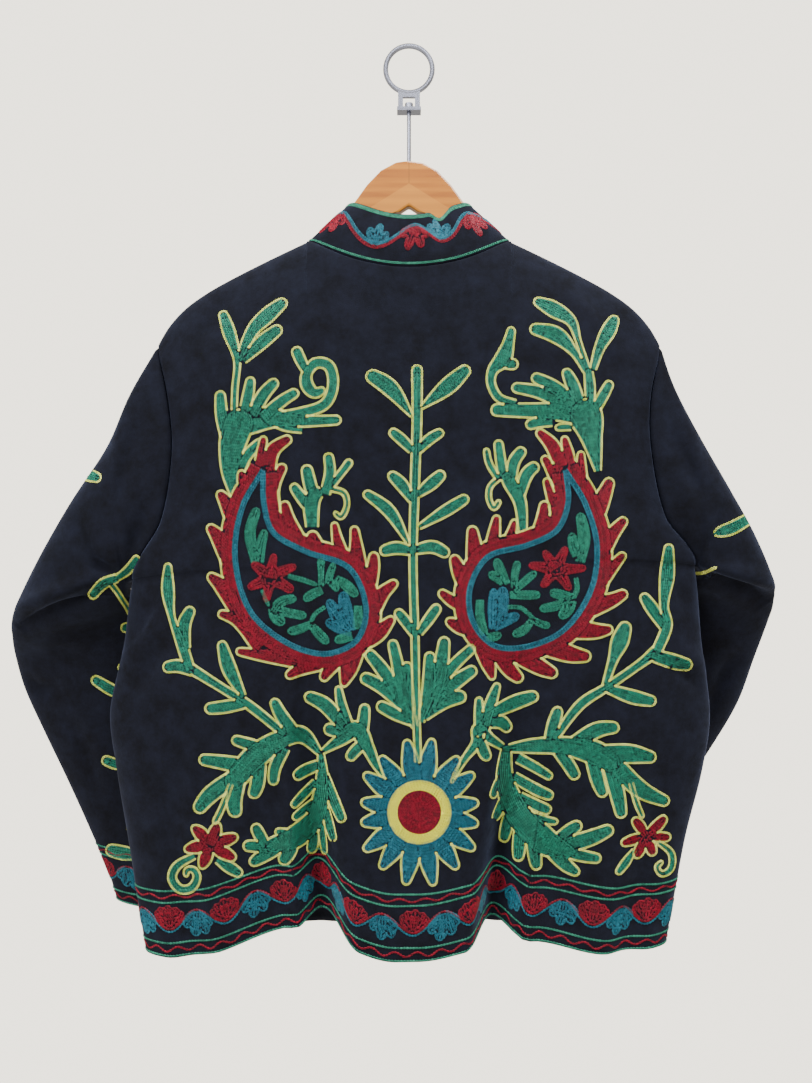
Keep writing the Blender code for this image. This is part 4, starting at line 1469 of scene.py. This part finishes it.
# %% Sew the hem and the cuffs
HIDDEN_PITCH, HIDDEN_OUTLINE = 1.4 * FILL_PITCH, 1.3 * OUTLINE_PITCH
MEASURED_UP = 30
HEM_MIDDLE_X, OUTER_TULIPS_X, TULIP_STEPS = 3.5, (-226.0, 233.0), 10
CUFF_FIRST = 20.0
hem = Strip("back", "foot", MEASURED_UP)
first = float(np.interp(HEM_MIDDLE_X * MM, hem.line[:, 0], hem.along))
ends = np.interp(np.array(OUTER_TULIPS_X) * MM, hem.line[:, 0], hem.along)
period = float(ends[1] - ends[0]) / TULIP_STEPS
print("hem of the back:", round(hem.length), "mm, tulips", round(period, 1), "mm apart")
border("back", hem, first, period)
for node in ("front_left", "front_right"):
    strip = Strip(node, "foot", MEASURED_UP)
    border(node, strip, strip.length / 2, strip.length / round(strip.length / PERIOD), HIDDEN_PITCH)
for node, pitch in (("sleeve_left", FILL_PITCH), ("sleeve_right", HIDDEN_PITCH)):
    strip = Strip(node, "head", MEASURED_UP)
    border(node, strip, CUFF_FIRST, strip.length / round(strip.length / PERIOD), pitch)
print({group: sum(len(row) for row in rows) for group, rows in notes.items() if group[0] != "back"})

# %% [markdown]
# ## The collar
#
# On the collar the vine is upside down: teal flowers stand in its troughs and
# red ones hang from its crests. Its wave was drawn by hand and is uneven, so
# its turning points are in a table, with s from the middle of the back.

# %% Sew the collar
COLLAR_VINE = table(
    "s    h",
    (-222, 18),
    (-184, 36),
    (-146, 15),
    (-104, 36),
    (-38, 16),
    (7, 38),
    (40, 23),
    (88, 37),
    (126, 14),
    (164, 36),
    (202, 15),
    (228, 30),
)
CUP = strokes("""
0 2 5, 0 12 6, 1 22 5
0 2 5, -8 9 5.4, -14 15 5
0 2 5, 8 8 5.4, 14 13 5
""")
SPRAY = strokes("""
0 2 6, -4 12 5.6, -7 24 4.4
0 2 6, -10 6 5.6, -18 11 4.6
0 2 6, 6 11 5.8, 10 20 4.8
0 2 6, 11 5 5.2, 18 9 4.6
""")
COLLAR_HIGH = COLLAR_RISE_BACK + COLLAR_TUCK
COLLAR_LINES = (5.8, COLLAR_HIGH - 3.6, COLLAR_HIGH - 1.7)
COLLAR_ROWS_OF_VINE = (("teal", 0.9), ("teal", 2.7), ("red", -0.9), ("red", -2.6))
TROUGHS_BELOW = 30
neck = Strip("collar", "foot", 6, full=COLLAR_HIGH)
behind = np.where(neck.line[:, 1] < 0, np.abs(neck.line[:, 0]), 9.0).argmin()
middle = float(neck.along[behind])
s = np.arange(0.5, neck.length, STEP)
for h in COLLAR_LINES:
    sew_flat(("collar", "mint", "line"), [np.stack([s, np.full_like(s, h)], axis=1)], neck, OUTLINE_PITCH)
wave = smooth(COLLAR_VINE["s"], COLLAR_VINE["h"], s - middle) + COLLAR_TUCK
for thread, apart in COLLAR_ROWS_OF_VINE:
    sew_flat(("collar", thread, "fill"), [np.stack([s, wave + apart], axis=1)], neck)
for at, h in zip(COLLAR_VINE["s"], COLLAR_VINE["h"] + COLLAR_TUCK):
    thread, shape, flip = ("teal", CUP, 1) if h < TROUGHS_BELOW else ("red", SPRAY, -1)
    turn, size = rng.uniform(-8, 8), rng.uniform(0.9, 1.02)
    lines = [spine(line) for line in moved(shape, middle + at, h + flip, turn, size, flip)]
    sew_flat(("collar", thread, "fill"), solid(lines), neck)
print("collar:", round(neck.length), "mm round")

# %% [markdown]
# ## Leaves on the sleeves
#
# A thin vine climbs the side of each sleeve that is turned to the body, and
# only its leaves peep out. Those are drawn where they show, and the rest of
# the vine follows them behind the body's edge. The far side of each sleeve
# gets three plain sprays of leaves, in longer stitches.

# %% Sew the sleeves
LEFT_SLEEVE_VINE = strokes("""
112 585 2.4, 120 596 2.2, 132 618 2.2, 134 660 2.2, 133 700 2.2, 138 760 2.2, 142 820 2.2, 146 862 2.2
117 578 4, 103 584 5, 90 598 4.4
117 578 3, 128 570 4, 138 556 3
134 632 3, 128 628 4.6, 121 628 4.4
133 668 3, 126 668 4, 118 667 3.6
133 700 3, 112 690 5.4, 92 678 4.4
138 768 3, 116 764 5, 102 759 4.4
141 830 3, 134 828 4, 127 829 3.6
146 856 3, 124 853 6.6, 106 849 5.6
146 868 3, 140 868 3.6, 134 866 3
134 650 3, 146 640 5, 158 628 4
136 720 3, 150 706 5, 162 692 4
140 790 3, 154 778 5, 164 764 4
""")
LEFT_PEEP = strokes("""
74 470 4, 86 474 6, 101 479 4
""")
RIGHT_SLEEVE_LEAVES = strokes("""
714 534 1.4, 720 532 4.8, 732 528 6, 752 517 5
""")
RIGHT_SLEEVE_VINE = strokes("""
690 573 0.6, 702 573 0.8, 717 567 0.6
690 600 2.2, 686 640 2.2, 680 690 2.2, 664 740 2.2, 640 780 2.2
690 610 3, 678 600 5, 664 594 4
688 640 3, 676 632 5, 664 628 4
682 690 3, 668 680 5, 656 674 4
664 740 3, 650 728 5, 640 718 4
""")
left_arm, right_arm = make_tree(["sleeve_left"]), make_tree(["sleeve_right"])
for target, place, motifs in (
    (left_arm, "sleeve_left", (LEFT_SLEEVE_VINE, LEFT_PEEP)),
    (right_arm, "sleeve_right", (RIGHT_SLEEVE_LEAVES, RIGHT_SLEEVE_VINE)),
):
    for motif in motifs:
        embroider(target, "green", [spine(line) for line in motif], place=place)

SPRAY_LEAVES = strokes("""
0 0 2, 0 60 2.2, 0 120 2.2
0 14 3, -16 24 5, -28 38 4
0 34 3, 16 44 5, 28 58 4
0 60 3, -16 70 5, -27 84 4
0 82 3, 15 92 5, 26 104 4
0 108 3, 0 124 6, 0 142 4
""")
SPRAYS_AT = ((0.62, 78.0), (0.64, 250.0), (0.60, 400.0))
for node in ("sleeve_left", "sleeve_right"):
    strip = Strip(node, "head", 200)
    for share, h in SPRAYS_AT:
        share = share if node == "sleeve_left" else 1 - share
        lines = [spine(line) for line in moved(SPRAY_LEAVES, share * strip.length, h, rng.uniform(-6, 6))]
        edges = outlines(lines)
        sew_flat((node, "green", "fill"), fills(lines, edges), strip, HIDDEN_PITCH)
        sew_flat((node, "lime", "line"), edges, strip, HIDDEN_OUTLINE)
print("sleeves sewn")

# %% [markdown]
# ## One stitch, many times
#
# A chain stitch is a small loop of thread, pinned at its head by the next one.
# One loop is modelled with a few flat sides. Geometry Nodes then puts it at
# every noted place, turned so that it lies on the cloth and points along its
# row. Afterwards the loops are real mesh, a few pieces for each thread.

# %% Loops
def loop_mesh(name, length, width, radius, places):
    """A loop of thread that lies on the cloth with its head at +X. Its underside is left open."""
    middle = np.array([(x * length, y * width, 0.0) for x, y in places])
    after, before = np.roll(middle, -1, axis=0), np.roll(middle, 1, axis=0)
    along = after - before
    along /= np.linalg.norm(along, axis=1, keepdims=True)
    across = np.stack([along[:, 1], -along[:, 0], np.zeros(len(middle))], axis=1)
    up = np.array([0.0, 0.0, 1.0])
    points = []
    for turn in (210, 90, -30):
        angle = math.radians(turn)
        points.append(middle + (across * math.cos(angle) + up * (math.sin(angle) + 0.5)) * radius)
    points = np.stack(points, axis=1)
    count = len(middle)
    faces = []
    for k in range(count):
        n = (k + 1) % count
        for side in range(2):
            faces.append((k * 3 + side, k * 3 + side + 1, n * 3 + side + 1, n * 3 + side))
    mesh = bpy.data.meshes.new(name)
    mesh.from_pydata(points.reshape(-1, 3).tolist(), [], faces)
    mesh.update()
    mesh.shade_smooth()
    return mesh


LOOP_PLACES = [(-0.56, 0.0), (-0.2, -0.5), (0.26, -0.42), (0.56, 0.0), (0.26, 0.42), (-0.2, 0.5)]
LINK_PLACES = [(-0.58, 0.0), (0.0, -0.5), (0.58, 0.0), (0.0, 0.5)]
loops = {
    "line": loop_mesh("outline_loop", OUTLINE_PITCH, 1.45 * MM, 0.44 * MM, LOOP_PLACES),
    "fill": loop_mesh("fill_loop", FILL_PITCH, 1.38 * MM, 0.52 * MM, LINK_PLACES),
}
print({kind: len(mesh.polygons) * 2 for kind, mesh in loops.items()}, "triangles a stitch")


# %% Threads
def thread_material(name, dark, light):
    """Silky thread: its tone wanders from stitch to stitch."""
    material, shader = new_material(
        name, Roughness=0.42, Specular_IOR_Level=0.25, Sheen_Weight=0.08, Sheen_Roughness=0.4
    )
    tone = add_node(material, "ShaderNodeAttribute", attribute_name="tone")
    ramp = add_ramp(material, tone.outputs["Fac"], dark, light)
    material.node_tree.links.new(ramp, shader.inputs["Base Color"])
    return material


threads = {
    "green": thread_material("green_thread", "#064E40", "#1E8F74"),
    "mint": thread_material("mint_thread", "#17604C", "#3A987C"),
    "lime": thread_material("lime_thread", "#BFCB44", "#EEF286"),
    "yellow": thread_material("yellow_thread", "#E2DE2C", "#FCFC54"),
    "red": thread_material("red_thread", "#520014", "#9C0028"),
    "teal": thread_material("teal_thread", "#084456", "#237A90"),
}

# %% [markdown]
# ### The node tree
#
# Each point carries where is out, where is along, how long the stitch is, and
# its tone. Two Align Rotation nodes turn the loop, first its Z outwards, then
# its X along the row.

# %% Place the loops
MOST_STITCHES = {"line": 5200, "fill": 8000}
TONE_SPREAD, TURN_SPREAD = 0.2, 0.06


def stitch_nodes(loop, material):
    """Geometry Nodes that put a loop on every point and make it real."""
    tree = bpy.data.node_groups.new("chain_stitches", "GeometryNodeTree")
    tree.interface.new_socket("Geometry", in_out="INPUT", socket_type="NodeSocketGeometry")
    tree.interface.new_socket("Geometry", in_out="OUTPUT", socket_type="NodeSocketGeometry")

    def add(kind, **values):
        node = tree.nodes.new(kind)
        for key, value in values.items():
            setattr(node, key, value)
        return node

    def named(name):
        node = add("GeometryNodeInputNamedAttribute", data_type="FLOAT_VECTOR")
        node.inputs["Name"].default_value = name
        return node.outputs["Attribute"]

    link = tree.links.new
    start, end = add("NodeGroupInput"), add("NodeGroupOutput")
    source = add("GeometryNodeObjectInfo")
    source.inputs["Object"].default_value = loop
    stand = add("FunctionNodeAlignRotationToVector", axis="Z")
    point = add("FunctionNodeAlignRotationToVector", axis="X", pivot_axis="Z")
    place = add("GeometryNodeInstanceOnPoints")
    real = add("GeometryNodeRealizeInstances")
    paint = add("GeometryNodeSetMaterial")
    paint.inputs["Material"].default_value = material
    link(named("out"), stand.inputs["Vector"])
    link(stand.outputs["Rotation"], point.inputs["Rotation"])
    link(named("along"), point.inputs["Vector"])
    link(start.outputs["Geometry"], place.inputs["Points"])
    link(source.outputs["Geometry"], place.inputs["Instance"])
    link(point.outputs["Rotation"], place.inputs["Rotation"])
    link(named("stretch"), place.inputs["Scale"])
    link(place.outputs["Instances"], real.inputs["Geometry"])
    link(real.outputs["Geometry"], paint.inputs["Geometry"])
    link(paint.outputs["Geometry"], end.inputs["Geometry"])
    return tree


def stitch_piece(name, rows, kind, material):
    """All the stitches of one thread in one part of the jacket, as one mesh."""
    data = np.concatenate(rows)
    mesh = bpy.data.meshes.new(name + "_points")
    mesh.vertices.add(len(data))
    mesh.vertices.foreach_set("co", data[:, 0:3].astype(np.float32).ravel())
    stretch = np.ones((len(data), 3))
    stretch[:, 0] = np.clip(data[:, 9], 0.5, 1.5)
    stretch *= rng.uniform(0.93, 1.07, (len(data), 1))
    tones = [rng.normal(rng.uniform(0.4, 0.6), TONE_SPREAD, len(row)) for row in rows]
    tone = np.clip(np.concatenate(tones), 0, 1)
    along = data[:, 6:9] + rng.normal(0, TURN_SPREAD, (len(data), 3))
    fields = {"out": data[:, 3:6], "along": along, "stretch": stretch}
    for key, values in fields.items():
        mesh.attributes.new(key, "FLOAT_VECTOR", "POINT").data.foreach_set(
            "vector", values.astype(np.float32).ravel()
        )
    mesh.attributes.new("tone", "FLOAT", "POINT").data.foreach_set("value", tone.astype(np.float32))
    points = bpy.data.objects.new(name + "_points", mesh)
    bpy.context.scene.collection.objects.link(points)
    loop = bpy.data.objects.new(kind + "_loop", loops[kind])
    bpy.context.scene.collection.objects.link(loop)
    tree = stitch_nodes(loop, material)
    modifier = points.modifiers.new("stitches", "NODES")
    modifier.node_group = tree
    depsgraph = bpy.context.evaluated_depsgraph_get()
    sewn = bpy.data.meshes.new_from_object(points.evaluated_get(depsgraph))
    sewn.name = name
    for extra in ("out", "along", "stretch"):
        if extra in sewn.attributes:
            sewn.attributes.remove(sewn.attributes[extra])
    bpy.data.objects.remove(points)
    bpy.data.objects.remove(loop)
    bpy.data.node_groups.remove(tree)
    sewn.materials.clear()
    sewn.materials.append(material)
    obj = bpy.data.objects.new(name, sewn)
    bpy.context.scene.collection.objects.link(obj)
    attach(obj, "root")
    return obj


total = 0
for (place, thread, kind), rows in sorted(notes.items()):
    counts = np.cumsum([len(row) for row in rows])
    parts = int(counts[-1] / MOST_STITCHES[kind]) + 1
    share = counts[-1] / parts + 1
    for n in range(parts):
        chosen = [row for row, count in zip(rows, counts) if n * share < count <= (n + 1) * share]
        if not chosen:
            continue
        name = f"{thread}_{kind}_on_{place}_{n + 1}"
        obj = stitch_piece(name, chosen, kind, threads[thread])
        total += len(obj.data.polygons) * 2
        print(name, sum(len(row) for row in chosen), "stitches")
print("embroidery:", total, "triangles")

# %% [markdown]

# %% [markdown]
# ## Wood and metal
#
# The hanger keeps its solids from the frame. It only needs its real finishes.

# %% Hanger materials
def math_node(material, operation, first, second=0.0):
    """One sum on two values or sockets."""
    node = add_node(material, "ShaderNodeMath", operation=operation)
    for k, value in enumerate((first, second)):
        if isinstance(value, bpy.types.NodeSocket):
            material.node_tree.links.new(value, node.inputs[k])
        else:
            node.inputs[k].default_value = value
    return node.outputs[0]


def painted(material, under, shade, share):
    """A colour painted over another by a share between 0 and 1."""
    mix = add_node(material, "ShaderNodeMix", {"Factor": share}, data_type="RGBA")
    material.node_tree.links.new(under, mix.inputs["A"])
    mix.inputs["B"].default_value = colour(shade)
    return mix.outputs["Result"]


GRAIN_TURN, GRAIN_SCALE = math.radians(28), (9.0, 60.0, 150.0)
MITRE_HALF, FORK_Z, FORK_SLOPE = 0.35 * MM, -138.0 * MM, 0.62
MITRE_SHADE, BELOW_FORK_SHADE = 0.7, 0.45


def wood_material():
    """Varnished beech in two arms, whose grain meets at a mitre in the middle."""
    material, shader = new_material("varnished_beech", Roughness=0.34, Coat_Weight=0.35)
    place = add_node(material, "ShaderNodeTexCoord").outputs["Object"]
    apart = add_node(material, "ShaderNodeSeparateXYZ", {"Vector": place})
    out = math_node(material, "ABSOLUTE", apart.outputs["X"])
    arm = add_node(
        material, "ShaderNodeCombineXYZ",
        {"X": out, "Y": apart.outputs["Y"], "Z": apart.outputs["Z"]},
    )
    turned = add_node(
        material, "ShaderNodeMapping",
        {"Vector": arm.outputs["Vector"], "Rotation": (0.0, GRAIN_TURN, 0.0), "Scale": GRAIN_SCALE},
    )
    grain = add_node(
        material, "ShaderNodeTexNoise",
        {"Vector": turned.outputs["Vector"], "Scale": 1.0, "Detail": 5.0},
    )
    tone = add_ramp(material, grain.outputs["Fac"], "#94500A", "#BE7616", 0.3, 0.7)
    line = math_node(material, "LESS_THAN", out, MITRE_HALF)
    high = math_node(material, "GREATER_THAN", apart.outputs["Z"], FORK_Z)
    mitre = math_node(material, "MULTIPLY", line, high)
    slope = math_node(material, "MULTIPLY", out, FORK_SLOPE)
    fork = math_node(material, "ADD", apart.outputs["Z"], slope)
    below = math_node(material, "LESS_THAN", fork, FORK_Z)
    paler_share = math_node(material, "MULTIPLY", below, BELOW_FORK_SHADE)
    darker_share = math_node(material, "MULTIPLY", mitre, MITRE_SHADE)
    paler = painted(material, tone, "#CE8828", paler_share)
    darker = painted(material, paler, "#6B4218", darker_share)
    material.node_tree.links.new(darker, shader.inputs["Base Color"])
    return material


wood = wood_material()
steel, _ = new_material("zinc_plated_steel", Roughness=0.34, Metallic=1.0, Base_Color=colour("#9397A8"))
for node, finish in (("hanger_wood", wood), ("hanger_pin", steel), ("hanger_ring", steel)):
    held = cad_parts[node]
    held.data.materials.clear()
    held.data.materials.append(finish)

# %% [markdown]
# ## The room
#
# The wall behind the jacket is pale and a little warm. The floor takes the same
# tone where the camera sees it, and both light the jacket softly.

# %% Floor, world and lamps
FLOOR_Z = -1.35
WALL, WALL_SEEN, WALL_LIGHT = "#F6EFDF", 3.2, 0.9


def seen_and_lit(tree, seen, lit, out):
    """Joins two shaders: the first is what the camera sees, the second does the lighting."""
    ray = tree.nodes.new("ShaderNodeLightPath")
    mix = tree.nodes.new("ShaderNodeMixShader")
    tree.links.new(ray.outputs["Is Camera Ray"], mix.inputs[0])
    tree.links.new(lit, mix.inputs[1])
    tree.links.new(seen, mix.inputs[2])
    tree.links.new(mix.outputs[0], out)


bpy.ops.mesh.primitive_plane_add(size=30, location=(0, 0, FLOOR_Z))
floor = bpy.context.object
floor.name = "pale_floor"
plaster, plaster_shader = new_material("pale_plaster", Roughness=0.9, Base_Color=colour("#E4E0D8"))
glow = add_node(plaster, "ShaderNodeEmission", {"Color": colour(WALL), "Strength": WALL_SEEN})
seen_and_lit(
    plaster.node_tree, glow.outputs[0], plaster_shader.outputs[0],
    plaster.node_tree.nodes["Material Output"].inputs["Surface"],
)
floor.data.materials.append(plaster)

world = bpy.data.worlds.new("pale_room")
world.use_nodes = True
backgrounds = []
for strength in (WALL_SEEN, WALL_LIGHT):
    shown = world.node_tree.nodes.new("ShaderNodeBackground")
    shown.inputs["Color"].default_value = colour(WALL)
    shown.inputs["Strength"].default_value = strength
    backgrounds.append(shown.outputs[0])
seen_and_lit(world.node_tree, *backgrounds, world.node_tree.nodes["World Output"].inputs["Surface"])
bpy.context.scene.world = world


def add_lamp(name, place, aim, size, watts):
    """A soft square lamp that looks at a point."""
    light = bpy.data.lights.new(name, "AREA")
    light.size, light.energy = size, watts
    lamp = bpy.data.objects.new(name, light)
    lamp.location = place
    lamp.rotation_euler = (Vector(aim) - Vector(place)).to_track_quat("-Z", "Y").to_euler()
    bpy.context.scene.collection.objects.link(lamp)


add_lamp("window_left", (-1.3, -1.9, 0.6), (0, 0, -0.5), 1.2, 58)
add_lamp("window_top", (0.5, -0.9, 1.2), (0, 0, -0.5), 1.0, 55)
